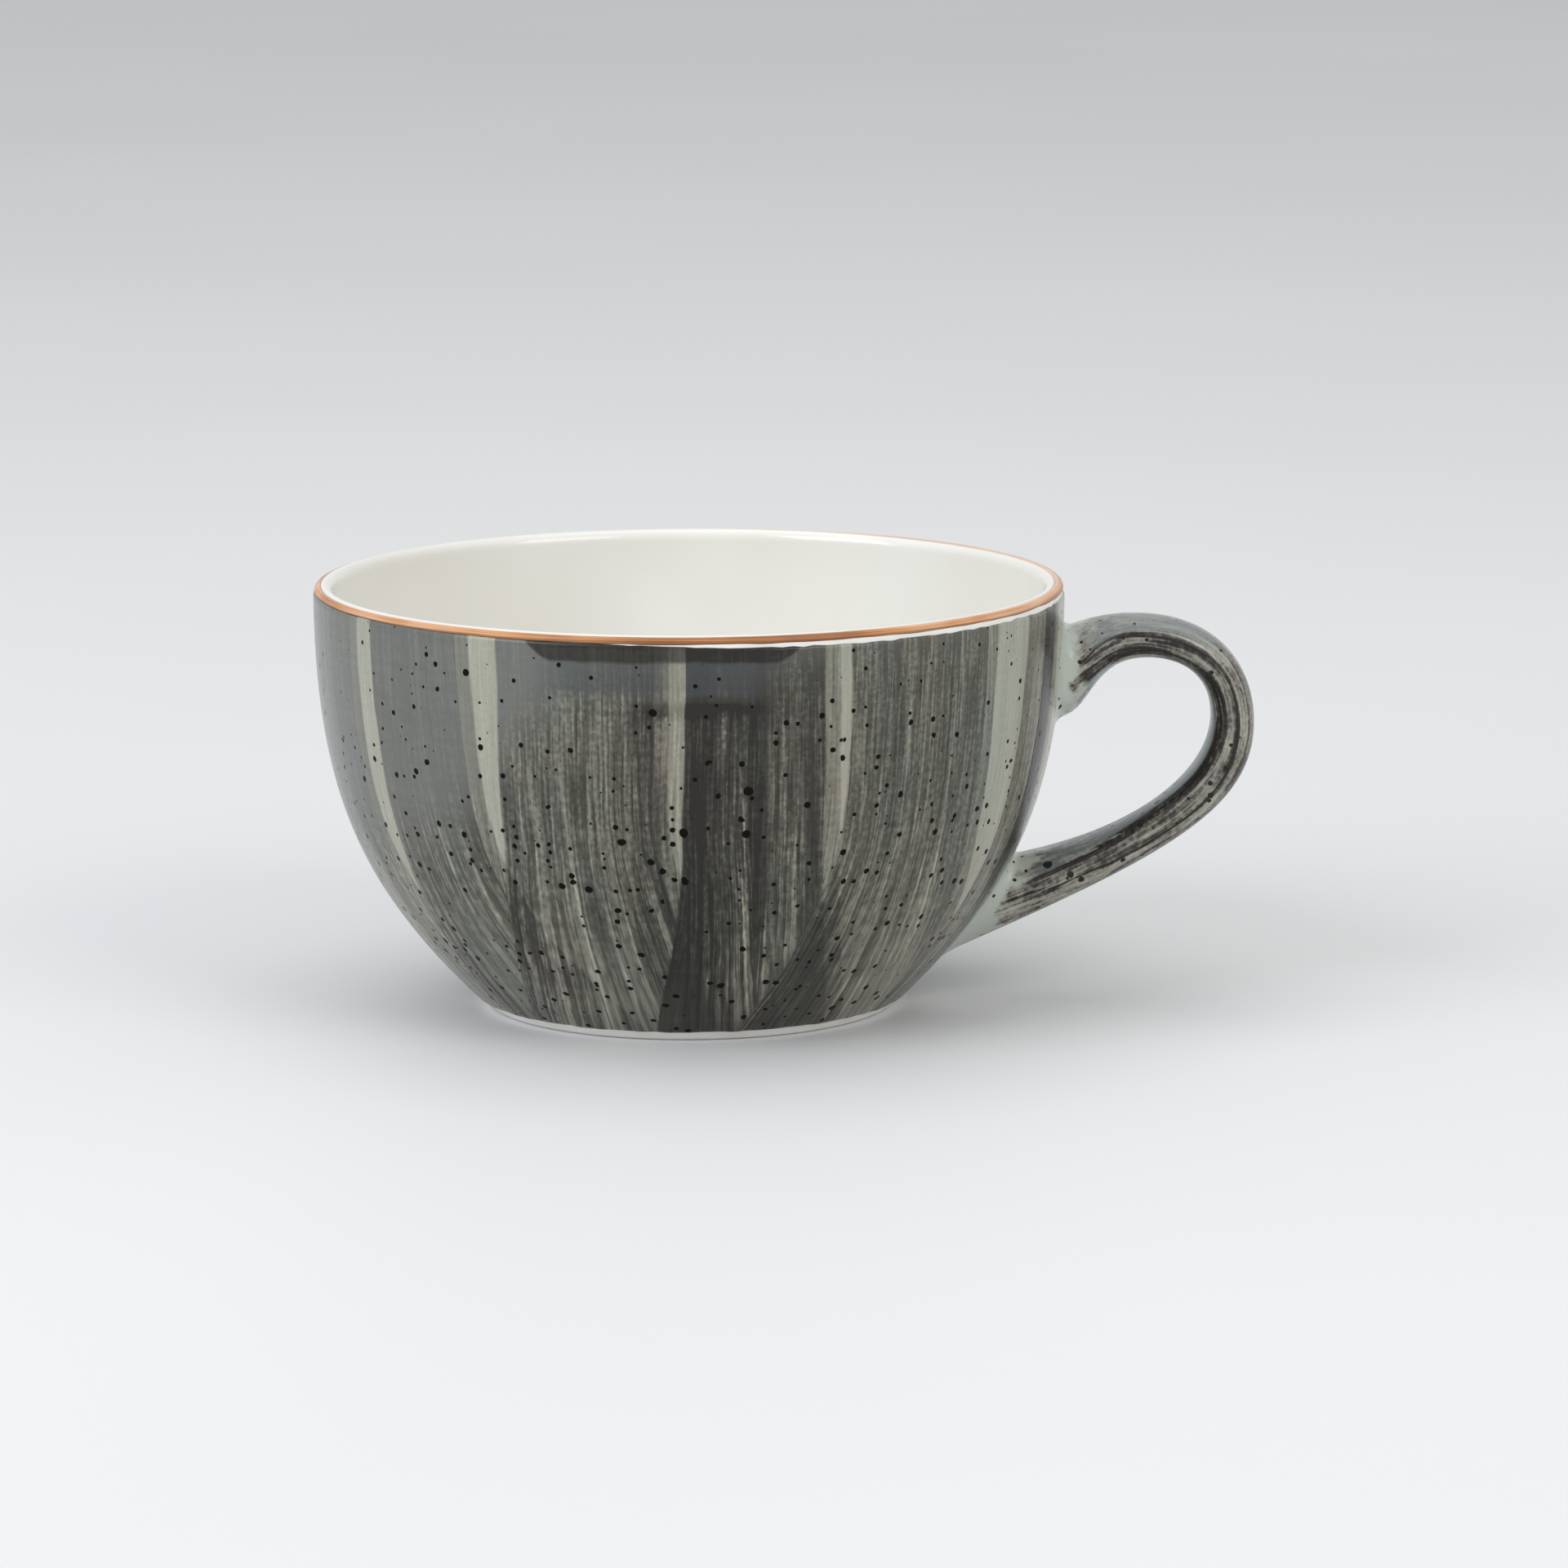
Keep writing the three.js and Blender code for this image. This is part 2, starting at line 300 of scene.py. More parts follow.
def bowl_places(tree):
    """Sockets in millimetres about the bowl's axis: point, radius, height, angle, rim direction."""
    coordinates = add_node(tree, "ShaderNodeTexCoord")
    point = add_node(tree, "ShaderNodeMapping", {
        "Vector": coordinates.outputs["Object"],
        "Location": (-bowl_axis, 0, 0),
        "Scale": (1 / MM, 1 / MM, 1 / MM),
    })
    flat = add_node(tree, VECTOR_MATH, {0: point, 1: (1, 1, 0)}, operation="MULTIPLY")
    radius = add_node(tree, VECTOR_MATH, {0: flat}, operation="LENGTH").outputs["Value"]
    direction = add_node(tree, VECTOR_MATH, {0: flat}, operation="NORMALIZE")
    parts = add_node(tree, "ShaderNodeSeparateXYZ", {"Vector": point})
    angle = add_node(tree, MATH, {0: parts.outputs["Y"], 1: parts.outputs["X"]}, operation="ARCTAN2")
    return {
        "point": point,
        "radius": radius,
        "height": parts.outputs["Z"],
        "angle": angle,
        "direction": direction,
    }


def noise_round(tree, places, along_rim, along_height, detail=2.0, lift=0.0, rise=None):
    """Noise without a seam, with features of given sizes in millimetres; lift picks another part of it."""
    on_rim = add_node(tree, VECTOR_MATH, {
        0: places["direction"],
        "Scale": rim_radius / along_rim,
    }, operation="SCALE")
    upwards = add_node(tree, MATH, {0: rise or places["height"], 1: 1 / along_height, 2: lift},
                       operation="MULTIPLY_ADD")
    lifted = add_node(tree, "ShaderNodeCombineXYZ", {"Z": upwards})
    spot = add_node(tree, VECTOR_MATH, {0: on_rim, 1: lifted}, operation="ADD")
    return add_node(tree, NOISE, {"Vector": spot, "Scale": 1.0, "Detail": detail})


def spread(value, usual, wanted=(0.0, 1.0)):
    """Inputs of a Map Range node that takes a value from its usual range to the wanted one."""
    return {
        "Value": value,
        "From Min": usual[0],
        "From Max": usual[1],
        "To Min": wanted[0],
        "To Max": wanted[1],
    }


print(f"patterns are laid out on a rim circle {2 * math.pi * rim_radius:.0f} mm long")

# %% [markdown]
# Bare porcelain shows on the foot ring and as a hairline under the lip. It is fired white clay,
# ground smooth where it stands on the table: a warm white with slow clouds and a fine, dull grain.
# The grain of the clay is finer than a pixel, so it is drawn a little coarser.

# %% Fired porcelain
CLAY_GRAIN = 0.35
CLAY_CLOUDS = 9.0


def fired_porcelain():
    material, tree, shader = new_material("fired_porcelain_ground_bare", IOR=GLAZE_IOR)
    places = bowl_places(tree)
    grain = add_node(tree, NOISE, {"Vector": places["point"], "Scale": 1 / CLAY_GRAIN, "Detail": 3.0})
    clouds = add_node(tree, NOISE, {"Vector": places["point"], "Scale": 1 / CLAY_CLOUDS, "Detail": 2.0})
    colour = add_node(tree, RAMP, {0: clouds})
    set_stops(colour, [(0.3, "#EBE8E2"), (0.7, "#F6F4F0")])
    rough = add_node(tree, MAP_RANGE, {"Value": grain, "To Min": 0.35, "To Max": 0.55})
    bump = add_node(tree, BUMP, {"Height": grain, "Strength": 0.25, "Distance": 0.03 * MM})
    fill(tree, shader, {"Base Color": colour, "Roughness": rough, "Normal": bump})
    return material


porcelain = fired_porcelain()
print("made", porcelain.name)

# %% [markdown]
# The white liner glaze is thick and glossy. What tells it from plain white plastic is a very soft
# unevenness: the melt pools in slow waves about a centimetre long, which bend the reflections, and
# its white is a little greyer where the coat is thin. Tiny pinholes are left where gas came out.

# %% White liner glaze
POOL_WAVES = 14.0
GLAZE_CLOUDS = 30.0
PINHOLE_SPACING = 9.0
PINHOLE_RADIUS = 0.09


def white_liner_glaze():
    material, tree, shader = new_material("white_glaze_poured_and_fired", IOR=GLAZE_IOR)
    places = bowl_places(tree)
    waves = add_node(tree, NOISE, {"Vector": places["point"], "Scale": 1 / POOL_WAVES, "Detail": 1.0})
    clouds = add_node(tree, NOISE, {"Vector": places["point"], "Scale": 1 / GLAZE_CLOUDS, "Detail": 2.0})
    white = add_node(tree, RAMP, {0: clouds})
    set_stops(white, [(0.3, "#E3E1DA"), (0.7, "#EAE9E4")])
    holes = add_node(tree, VORONOI, {"Vector": places["point"], "Scale": 1 / PINHOLE_SPACING})
    hole = add_node(tree, MAP_RANGE, {
        "Value": holes.outputs["Distance"],
        "From Min": PINHOLE_RADIUS / PINHOLE_SPACING,
        "From Max": 2 * PINHOLE_RADIUS / PINHOLE_SPACING,
        "To Min": 1.0,
        "To Max": 0.0,
    })
    colour = add_node(tree, MIX, {"Factor": hole, "A": white, "B": linear("#8D877C")}, data_type="RGBA")
    rough = add_node(tree, MAP_RANGE, {"Value": clouds, "To Min": 0.06, "To Max": 0.14})
    bump = add_node(tree, BUMP, {"Height": waves, "Strength": 0.35, "Distance": 0.12 * MM})
    fill(tree, shader, {"Base Color": colour, "Roughness": rough, "Normal": bump})
    return material


white_glaze = white_liner_glaze()
print("made", white_glaze.name)

# %% [markdown]
# The bowl itself is almost hidden under its coats, but the foot ring, the recess underneath and the
# hairline under the lip show it. Its loop runs from the middle of the recess out over the foot, up
# the wall, over the lip and down the inside to the floor.

# %% Porcelain bowl
foot_ring_width = 3.4
recess_depth = 2
recess_slope = 1.2
recess_radius = foot_radius - foot_ring_width - recess_slope
ring_corner = 0.35
underside = np.array([
    (0, recess_depth),
    (recess_radius - ring_corner, recess_depth),
    (recess_radius, recess_depth - ring_corner),
    (recess_radius + recess_slope - ring_corner / 2, ring_corner / 2),
    (recess_radius + recess_slope + ring_corner / 2, 0),
])
lip = arc(lip_centre, lip_radius, 0, 180)
bowl_loop = np.concatenate([
    underside,
    foot_corner,
    wall[1:-1:2],
    lip,
    inner_wall[1::2],
])
finished(spun(bowl_loop), "bowl_body", "bowl", porcelain)

# %% [markdown]
# A coat never stops in a perfect circle: a brush leaves its edge a little higher here and lower
# there. A sum of a few sine waves with whole numbers of swings round the rim closes on itself without
# a step. The waves move the vertices near an edge up or down along the wall.

# %% Uneven edges
def smooth(share):
    """A soft step from 0 to 1."""
    share = np.clip(share, 0, 1)
    return share * share * (3 - 2 * share)


def ripple(seed, counts):
    """A wave between -1 and 1 round the rim, made of the given numbers of swings."""
    draw = random.Random(seed)
    parts = [(count, draw.uniform(0, 2 * math.pi), draw.uniform(0.5, 1)) for count in counts]
    total = sum(weight for _, _, weight in parts)
    return lambda angle: sum(
        weight * math.sin(count * angle + turn) for count, turn, weight in parts
    ) / total


def nudge_edge(work, height, reach, shift):
    """Moves vertices up by shift(angle), in full at a height and fading out over a reach to either side."""
    for vert in work.verts:
        share = 1 - abs(vert.co.z / MM - height) / reach
        if share > 0:
            angle = math.atan2(vert.co.y, vert.co.x - bowl_axis * MM)
            vert.co.z += shift(angle) * smooth(share) * MM


slow_swings = ripple(3, (2, 3, 5))
quick_swings = ripple(8, (17, 29, 43, 61))
bristle_swings = ripple(5, (71, 83, 97, 109))
print(f"at the front the slow wave stands at {slow_swings(-math.pi / 2):.2f} of its range")

# %% [markdown]
# The liner covers the inside from the crest of the lip down to the middle of the floor. It meets the
# brown wash on the lip, and that line isn't even either: on one side the wash stops before the crest,
# on the other it spills over it. So the line is given as an angle round the lip for each direction,
# and both coats are first spun with an even edge and then slid round the lip to meet there.

# %% White liner
LINER_POINTS = 90
band_span = (14, 78)
BAND_LEAN = 7
BAND_SPILL = 20
BAND_WANDER = 3
SPILL_SIDE = math.radians(42)
SPILL_NARROW = 4


def band_edge(direction):
    """Lip angle in degrees at which the brown wash and the white liner meet."""
    spill = max(0, math.cos(direction - SPILL_SIDE)) ** SPILL_NARROW
    return (band_span[1] + BAND_LEAN * math.cos(direction) + BAND_SPILL * spill
            + BAND_WANDER * slow_swings(direction))


def slide_on_lip(work, span, new_span):
    """Slides vertices from one span of lip angles to the span for their direction."""
    for vert in work.verts:
        flat = Vector((vert.co.x / MM - bowl_axis, vert.co.y / MM))
        on_lip = Vector((flat.length - lip_centre[0], vert.co.z / MM - lip_centre[1]))
        if on_lip.y > 0:
            share = (math.degrees(math.atan2(on_lip.y, on_lip.x)) - span[0]) / (span[1] - span[0])
            first, last = new_span(math.atan2(flat.y, flat.x))
            radius, height = towards(lip_centre, first + share * (last - first), on_lip.length)
            flat *= radius / flat.length
            vert.co = Vector((bowl_axis + flat.x, flat.y, height)) * MM


behind_crest = arc(lip_centre, lip_radius, 180, band_span[1])
liner_line = np.concatenate([inner_wall[::-1], behind_crest[1:]])
liner_bare = closer_at_ends(liner_line, LINER_POINTS)
liner_loop = coat(liner_bare, -glaze_thickness, round_start=False)
liner_loop[:, 0] = np.maximum(liner_loop[:, 0], 0)
liner_work = spun(liner_loop)
slide_on_lip(liner_work, (180, band_span[1]), lambda direction: (180, band_edge(direction)))
finished(liner_work, "liner_coat", "liner_glaze", white_glaze)

# %% [markdown]
# The recess under the foot has a thin glaze too, held back from the ring so that the cup doesn't
# stick to the kiln shelf.

# %% Glaze in the recess
base_glaze_margin = 0.8
BASE_POINTS = 40
base_line = np.array([(0, recess_depth), (recess_radius - base_glaze_margin, recess_depth)])
base_loop = coat(closer_at_ends(base_line, BASE_POINTS), glaze_thickness, round_start=False)
finished(spun(base_loop), "recess_coat", "base_glaze", white_glaze)

# %% [markdown]
# The brown band is an iron wash painted on the lip with the cup on a turning wheel. It is thin: its
# orange brown gets darker at the front, where the brush was set down, and along its lower edge, where
# the wash gathered. It runs in fine lines round the rim and fades to peach towards the crest. The
# angle round the lip, worked out in the shader, says how far a point is from both edges.

# %% Iron wash on the lip
WASH_LINE_LENGTH = 22.0
WASH_LINE_WIDTH = 0.22
WASH_CLOUD = 16.0
BAND_POINTS = 40
BAND_SWING = 5
SET_DOWN = (0.1, -0.99, 0)
SET_DOWN_REACH = (0.8, 1.0)
SET_DOWN_DEPTH = (0.07, -0.06)
PEACH_SPAN = (50, 95)
PEACH_SHARE = 0.6
GATHERED_SPAN = (5, 16)
GATHERED_SHARE = 0.7


def iron_wash():
    material, tree, shader = new_material(
        "iron_wash_brushed_on_lip", IOR=GLAZE_IOR, Specular_IOR_Level=0.35,
    )
    places = bowl_places(tree)
    over_lip = add_node(tree, MATH, {0: places["height"], 1: places["radius"]}, operation="SUBTRACT")
    lines = noise_round(tree, places, WASH_LINE_LENGTH, WASH_LINE_WIDTH, rise=over_lip)
    clouds = noise_round(tree, places, WASH_CLOUD, WASH_CLOUD, detail=3.0, lift=4.0)
    even = add_node(tree, MIX, {"Factor": 0.5, "A": lines, "B": clouds})
    cosine = add_node(tree, VECTOR_MATH, {0: places["direction"], 1: SET_DOWN}, operation="DOT_PRODUCT")
    set_down = add_node(
        tree, MAP_RANGE, spread(cosine.outputs["Value"], SET_DOWN_REACH, SET_DOWN_DEPTH),
        interpolation_type="SMOOTHSTEP",
    )
    depth = add_node(tree, MATH, {0: even, 1: set_down}, operation="ADD")
    brown = add_node(tree, RAMP, {0: depth})
    set_stops(brown, [(0.32, "#80502E"), (0.44, "#A56B40"), (0.56, "#C88C5A"), (0.68, "#DDB08C")])
    out = add_node(tree, MATH, {0: places["radius"], 1: lip_centre[0]}, operation="SUBTRACT")
    up = add_node(tree, MATH, {0: places["height"], 1: lip_centre[1]}, operation="SUBTRACT")
    lip_angle = add_node(tree, MATH, {0: up, 1: out}, operation="ARCTAN2")
    fade = add_node(tree, MAP_RANGE, {
        "Value": lip_angle,
        "From Min": math.radians(PEACH_SPAN[0]),
        "From Max": math.radians(PEACH_SPAN[1]),
        "To Max": PEACH_SHARE,
    }, interpolation_type="SMOOTHSTEP")
    paled = add_node(tree, MIX, {"Factor": fade, "A": brown, "B": linear("#E6D2BF")}, data_type="RGBA")
    gathered = add_node(tree, MAP_RANGE, {
        "Value": lip_angle,
        "From Min": math.radians(band_span[0] + GATHERED_SPAN[0]),
        "From Max": math.radians(band_span[0] + GATHERED_SPAN[1]),
        "To Min": GATHERED_SHARE,
        "To Max": 0.0,
    })
    colour = add_node(tree, MIX, {"Factor": gathered, "A": paled, "B": linear("#5E4330")}, data_type="RGBA")
    rough = add_node(tree, MAP_RANGE, {"Value": depth, "To Min": 0.4, "To Max": 0.24})
    bump = add_node(tree, BUMP, {"Height": lines, "Strength": 0.2, "Distance": 0.03 * MM})
    fill(tree, shader, {"Base Color": colour, "Roughness": rough, "Normal": bump})
    return material


brown_wash = iron_wash()
band_line = arc(lip_centre, lip_radius, *band_span)
band_work = spun(coat(closer_at_ends(band_line, BAND_POINTS), glaze_thickness))
slide_on_lip(band_work, band_span, lambda direction: (
    band_span[0] + BAND_SWING * quick_swings(direction), band_edge(direction),
))
finished(band_work, "lip_band", "rim_band", brown_wash)

# %% [markdown]
# The grey glaze is the showpiece. It was put on with a flat brush in upright strokes from the rim to
# the foot. At the rim the strokes lie side by side with pale gaps between them; the bowl narrows
# below, so there they overlap and go dark in wedges. Counting the coats at each point gives all of
# this at once. A stroke is two edges at the rim, in degrees from the front, a weight in coats, and
# how many millimetres it leans to the right on its way to the foot. The front ones stand where the
# photograph shows them, the ones round the back are drawn at random from a fixed seed.

# %% Brush strokes round the bowl
FRONT = -90
front_strokes = [
    (-85, -61, 0.8, 0),
    (-55, -36.3, 0.8, 3.2),
    (-8, 1.5, 0.22, 0),
    (-28.8, -4.7, 0.9, 0),
    (0.2, 21.5, 1.16, 1.4),
    (0.2, 10, 0.36, 1.4),
    (25.9, 51, 0.82, 1.2),
    (62.5, 70.5, 0.55, 0),
    (69.8, 75.5, 1.9, 0),
]
HANDLE_CLEAR = 104
BACK_STROKES = 6
BACK_GAPS = (3, 6)
BACK_WEIGHTS = (0.9, 1.2)
back_step = (360 + front_strokes[0][0] - HANDLE_CLEAR) / BACK_STROKES
stroke_draw = random.Random(21)


def drawn_stroke(number):
    """One of the strokes round the back, with a gap before it."""
    start = HANDLE_CLEAR + number * back_step + stroke_draw.uniform(*BACK_GAPS)
    return (start, HANDLE_CLEAR + (number + 1) * back_step, stroke_draw.uniform(*BACK_WEIGHTS), 0)


strokes = front_strokes + [drawn_stroke(number) for number in range(BACK_STROKES)]
print(f"{len(strokes)} strokes, the widest {max(end - start for start, end, *_ in strokes):.0f} degrees")

# %% [markdown]
# For each stroke the sideways distance from its middle line, in millimetres on the surface, says
# whether the brush covered a point. The brush was lifted slowly at its right edge, so a thin wash
# trails beyond it while the left edge is sharp. Near the foot it was pressed harder, so the strokes
# get wider there. Where two strokes of a full brush cross, the coats flow together and lose their
# streaks, so crossings are counted apart, with softer edges.

# %% Coats of each stroke
STROKE_EDGE = 0.5
STROKE_WANDER = 2.0
WANDER_LENGTH = 45.0
FRAY = 0.5
FRAY_WIDTH = 0.76
FRAY_LENGTH = 7.0
TRAIL_WIDTH = 2.1
TRAIL_HEIGHTS = (20.0, 42.0)
TRAIL_WEIGHTS = (0.6, 0.44)
PRESSED_HEIGHTS = (4.0, 28.0)
PRESSED_WIDER = 1.27
FULL_WEIGHT = 0.81
CROSSING_EDGE = 5.0


def cover(tree, sideways, low, high, edge=STROKE_EDGE):
    """1 between two sideways places and 0 outside, with soft edges."""
    from_middle = add_node(tree, MATH, {0: sideways, 1: (low + high) / 2}, operation="SUBTRACT")
    distance = add_node(tree, MATH, {0: from_middle}, operation="ABSOLUTE")
    return add_node(tree, MAP_RANGE, {
        "Value": distance,
        "From Min": (high - low - edge) / 2,
        "From Max": (high - low + edge) / 2,
        "To Min": 1.0,
        "To Max": 0.0,
    }, interpolation_type="SMOOTHSTEP")


def sideways_wander(tree, places):
    """How far the strokes' edges wander and fray, in millimetres."""
    wander = noise_round(tree, places, WANDER_LENGTH, WANDER_LENGTH, detail=1.0)
    fray = noise_round(tree, places, FRAY_WIDTH, FRAY_LENGTH, lift=9.0)
    bends = (-STROKE_WANDER / 2, STROKE_WANDER / 2)
    bend = add_node(tree, MAP_RANGE, spread(wander, USUAL_NOISE, bends), clamp=False)
    return add_node(tree, MATH, {0: fray, 1: FRAY, 2: bend}, operation="MULTIPLY_ADD")


def stroke_layers(tree, places):
    """Sockets for the thickness in coats, the crossings, and the top stroke's place and number."""
    shift = sideways_wander(tree, places)
    height = places["height"]
    trail_weight = add_node(tree, MAP_RANGE, spread(height, TRAIL_HEIGHTS, TRAIL_WEIGHTS))
    narrowed = add_node(tree, MAP_RANGE, spread(height, PRESSED_HEIGHTS, (1 / PRESSED_WIDER, 1.0)))
    brush_radius = add_node(tree, MATH, {0: places["radius"], 1: narrowed}, operation="MULTIPLY")
    from_rim = add_node(tree, MAP_RANGE, spread(height, (cup_height, 0.0)))
    across = add_node(tree, MATH, {0: places["angle"], 1: rim_radius}, operation="MULTIPLY")
    thickness, number, full_strokes = 0.0, 0.0, 0.0
    for index, (start, end, weight, lean) in enumerate(strokes):
        middle = math.radians(FRONT + (start + end) / 2)
        half = math.radians(end - start) / 2 * rim_radius
        turned = add_node(tree, MATH, {0: places["angle"], 1: middle}, operation="SUBTRACT")
        nearest = add_node(tree, MATH, {0: turned, 1: math.pi, 2: -math.pi}, operation="WRAP")
        leaning = add_node(tree, MATH, {0: from_rim, 1: -lean, 2: shift}, operation="MULTIPLY_ADD")
        sideways = add_node(tree, MATH, {0: nearest, 1: brush_radius, 2: leaning}, operation="MULTIPLY_ADD")
        laid = cover(tree, sideways, -half, half)
        trailed = cover(tree, sideways, -half, half + TRAIL_WIDTH)
        for layer, share in ((laid, weight - TRAIL_WEIGHTS[1]), (trailed, trail_weight)):
            thickness = add_node(tree, MATH, {0: layer, 1: share, 2: thickness}, operation="MULTIPLY_ADD")
        if weight > FULL_WEIGHT:
            loaded = cover(tree, sideways, -half, half, edge=CROSSING_EDGE)
            full_strokes = add_node(tree, MATH, {0: loaded, 1: full_strokes}, operation="ADD")
        on_top = add_node(tree, MATH, {0: laid, 1: 0.5}, operation="GREATER_THAN")
        across = add_node(tree, MIX, {"Factor": on_top, "A": across, "B": sideways})
        number = add_node(tree, MIX, {"Factor": on_top, "A": number, "B": index + 1.0})
    crossing = add_node(tree, MAP_RANGE, {"Value": full_strokes, "From Min": 1.0, "From Max": 2.0})
    return thickness, crossing, across, number


full_count = sum(weight > FULL_WEIGHT for _, _, weight, _ in strokes)
print(f"{full_count} strokes of a full brush, {PRESSED_WIDER} times as wide at the foot")

# %% [markdown]
# Bristles leave fine streaks that keep their distance from the stroke's middle line, and tufts of
# bristles leave wider ones. So the streaks' noise is fed with the sideways distance of the stroke
# that lies on top, and with the length along the wall, many times stretched. Small round beads, where
# the glaze crept together in the fire, break the streaks up.

# %% Bristle streaks
BRISTLE_WIDTH = 0.38
BRISTLE_LENGTH = 10.0
TUFT_WIDTH = 1.7
TUFT_LENGTH = 45.0
TUFT_SHARE = 0.36
BEAD_SIZE = 0.6
BEAD_SHARE = 0.24
NOISE_PER_STROKE = 7.3


def streak_noise(tree, across, along, number, width, length, detail):
    """Noise stretched along a stroke, with features of the given width and length in millimetres."""
    sideways = add_node(tree, MATH, {0: across, 1: 1 / width}, operation="MULTIPLY")
    lengthways = add_node(tree, MATH, {0: along, 1: 1 / length}, operation="MULTIPLY")
    layer = add_node(tree, MATH, {0: number, 1: NOISE_PER_STROKE}, operation="MULTIPLY")
    spot = add_node(tree, "ShaderNodeCombineXYZ", {"X": sideways, "Y": lengthways, "Z": layer})
    return add_node(tree, NOISE, {"Vector": spot, "Scale": 1.0, "Detail": detail})


def brush_marks(tree, places, across, number):
    """The bristles' streaks by themselves, and mixed with tufts and beads."""
    along = add_node(tree, MATH, {0: places["height"], 1: places["radius"]}, operation="SUBTRACT")
    bristles = streak_noise(tree, across, along, number, BRISTLE_WIDTH, BRISTLE_LENGTH, 3.0)
    tufts = streak_noise(tree, across, along, number, TUFT_WIDTH, TUFT_LENGTH, 2.0)
    beads = streak_noise(tree, across, along, number, BEAD_SIZE, BEAD_SIZE, 3.0)
    streaks = add_node(tree, MIX, {"Factor": TUFT_SHARE, "A": bristles, "B": tufts})
    return bristles, add_node(tree, MIX, {"Factor": BEAD_SHARE, "A": streaks, "B": beads})


print(f"bristle streaks are {BRISTLE_WIDTH} mm wide and {BRISTLE_LENGTH} mm long")

# %% [markdown]
# Iron specks in the clay melt through the glaze as black dots from a third of a millimetre to more
# than a millimetre across, smaller towards the rim. A Voronoi texture gives one dot per cell, and
# each cell's random colour decides whether its dot is there and how large it is. Two sizes of cell
# give many small dots and a few large ones, and a little noise keeps them from being perfect circles.

# %% Iron specks
speck_sizes = [
    {"spacing": 1.45, "radius": 0.56, "share": 0.66},
    {"spacing": 4.0, "radius": 0.74, "share": 0.56},
]
SPECK_EDGE = 0.06
SPECK_UNEVEN = (0.75, 1.15)
SPECK_HEIGHTS = (30.0, 54.0)
SPECK_TOP_SHARE = 0.72
SPECK_BLACK = "#12100D"


def iron_specks(tree, places):
    """A mask that is 1 inside the specks."""
    point = places["point"]
    grown = add_node(tree, MAP_RANGE, spread(places["height"], SPECK_HEIGHTS, (1.0, SPECK_TOP_SHARE)))
    mask = 0.0
    for size in speck_sizes:
        ragged = add_node(tree, NOISE, {"Vector": point, "Scale": 1 / (2 * size["radius"]), "Detail": 1.0})
        cells = add_node(tree, VORONOI, {"Vector": point, "Scale": 1 / size["spacing"]})
        chance = add_node(tree, "ShaderNodeSeparateColor", {"Color": cells.outputs["Color"]})
        reach = add_node(tree, MAP_RANGE, {
            "Value": chance.outputs["Red"], "From Min": 1 - size["share"], "To Max": size["radius"],
        })
        uneven = add_node(tree, MAP_RANGE, spread(ragged, USUAL_NOISE, SPECK_UNEVEN))
        for share in (uneven, grown):
            reach = add_node(tree, MATH, {0: reach, 1: share}, operation="MULTIPLY")
        inside = add_node(tree, MATH, {
            0: cells.outputs["Distance"], 1: -size["spacing"], 2: reach,
        }, operation="MULTIPLY_ADD")
        dot = add_node(tree, MAP_RANGE, {"Value": inside, "From Max": SPECK_EDGE})
        mask = add_node(tree, MATH, {0: dot, 1: mask}, operation="MAXIMUM")
    return mask


print("specks up to", ", ".join(f"{2 * size['radius']:.1f} mm" for size in speck_sizes))

# %% [markdown]
# A painted reflection of the studio lights lies on the glaze: a smooth, bluish sheen without streaks,
# on the left from the rim far down the wall, and at the front in an area under the rim. Both end in a
# fringe, as their edges are moved by the streaks' own noise. A direction on the bowl is given as an
# angle from the front, and the dot product with it says how far round a point lies.

# %% Painted reflection on the glaze
# Painted reflection on the left, from the rim far down the wall.
LEFT_SHEEN_TURN = -65
LEFT_SHEEN_SPAN = (5, 55)
LEFT_SHEEN_LEVEL = 60.0
LEFT_SHEEN_LOWERED = 31.0
LEFT_SHEEN_FADE = 9.0
LEFT_SHEEN_WANDER = 5.0
LEFT_SHEEN_CLOUDS = (26.0, 60.0)
LEFT_SHEEN_SHARE = 0.7
LEFT_SHEEN_FRINGE = 18.0
# Painted reflection in an area at the front, under the rim.
FRONT_SHEEN_TURN = -5
FRONT_SHEEN_SPAN = (13, 19)
FRONT_SHEEN_BOTTOM = 48.4
FRONT_SHEEN_FADE = 1.7
FRONT_SHEEN_FRINGE = 6.0
FRONT_SHEEN_SHARE = 0.5


def facing(tree, places, turn, inner, outer):
    """1 up to some degrees from a direction that is turned from the front, and 0 beyond some more."""
    direction = (math.sin(math.radians(turn)), -math.cos(math.radians(turn)), 0)
    cosine = add_node(tree, VECTOR_MATH, {0: places["direction"], 1: direction}, operation="DOT_PRODUCT")
    return add_node(tree, MAP_RANGE, {
        "Value": cosine.outputs["Value"],
        "From Min": math.cos(math.radians(outer)),
        "From Max": math.cos(math.radians(inner)),
    }, interpolation_type="SMOOTHSTEP")


def fringed(tree, fringe, depth, level):
    """A level with the bristles' fringe added, up to a depth in millimetres."""
    return add_node(tree, MATH, {0: fringe, 1: depth, 2: level}, operation="MULTIPLY_ADD")


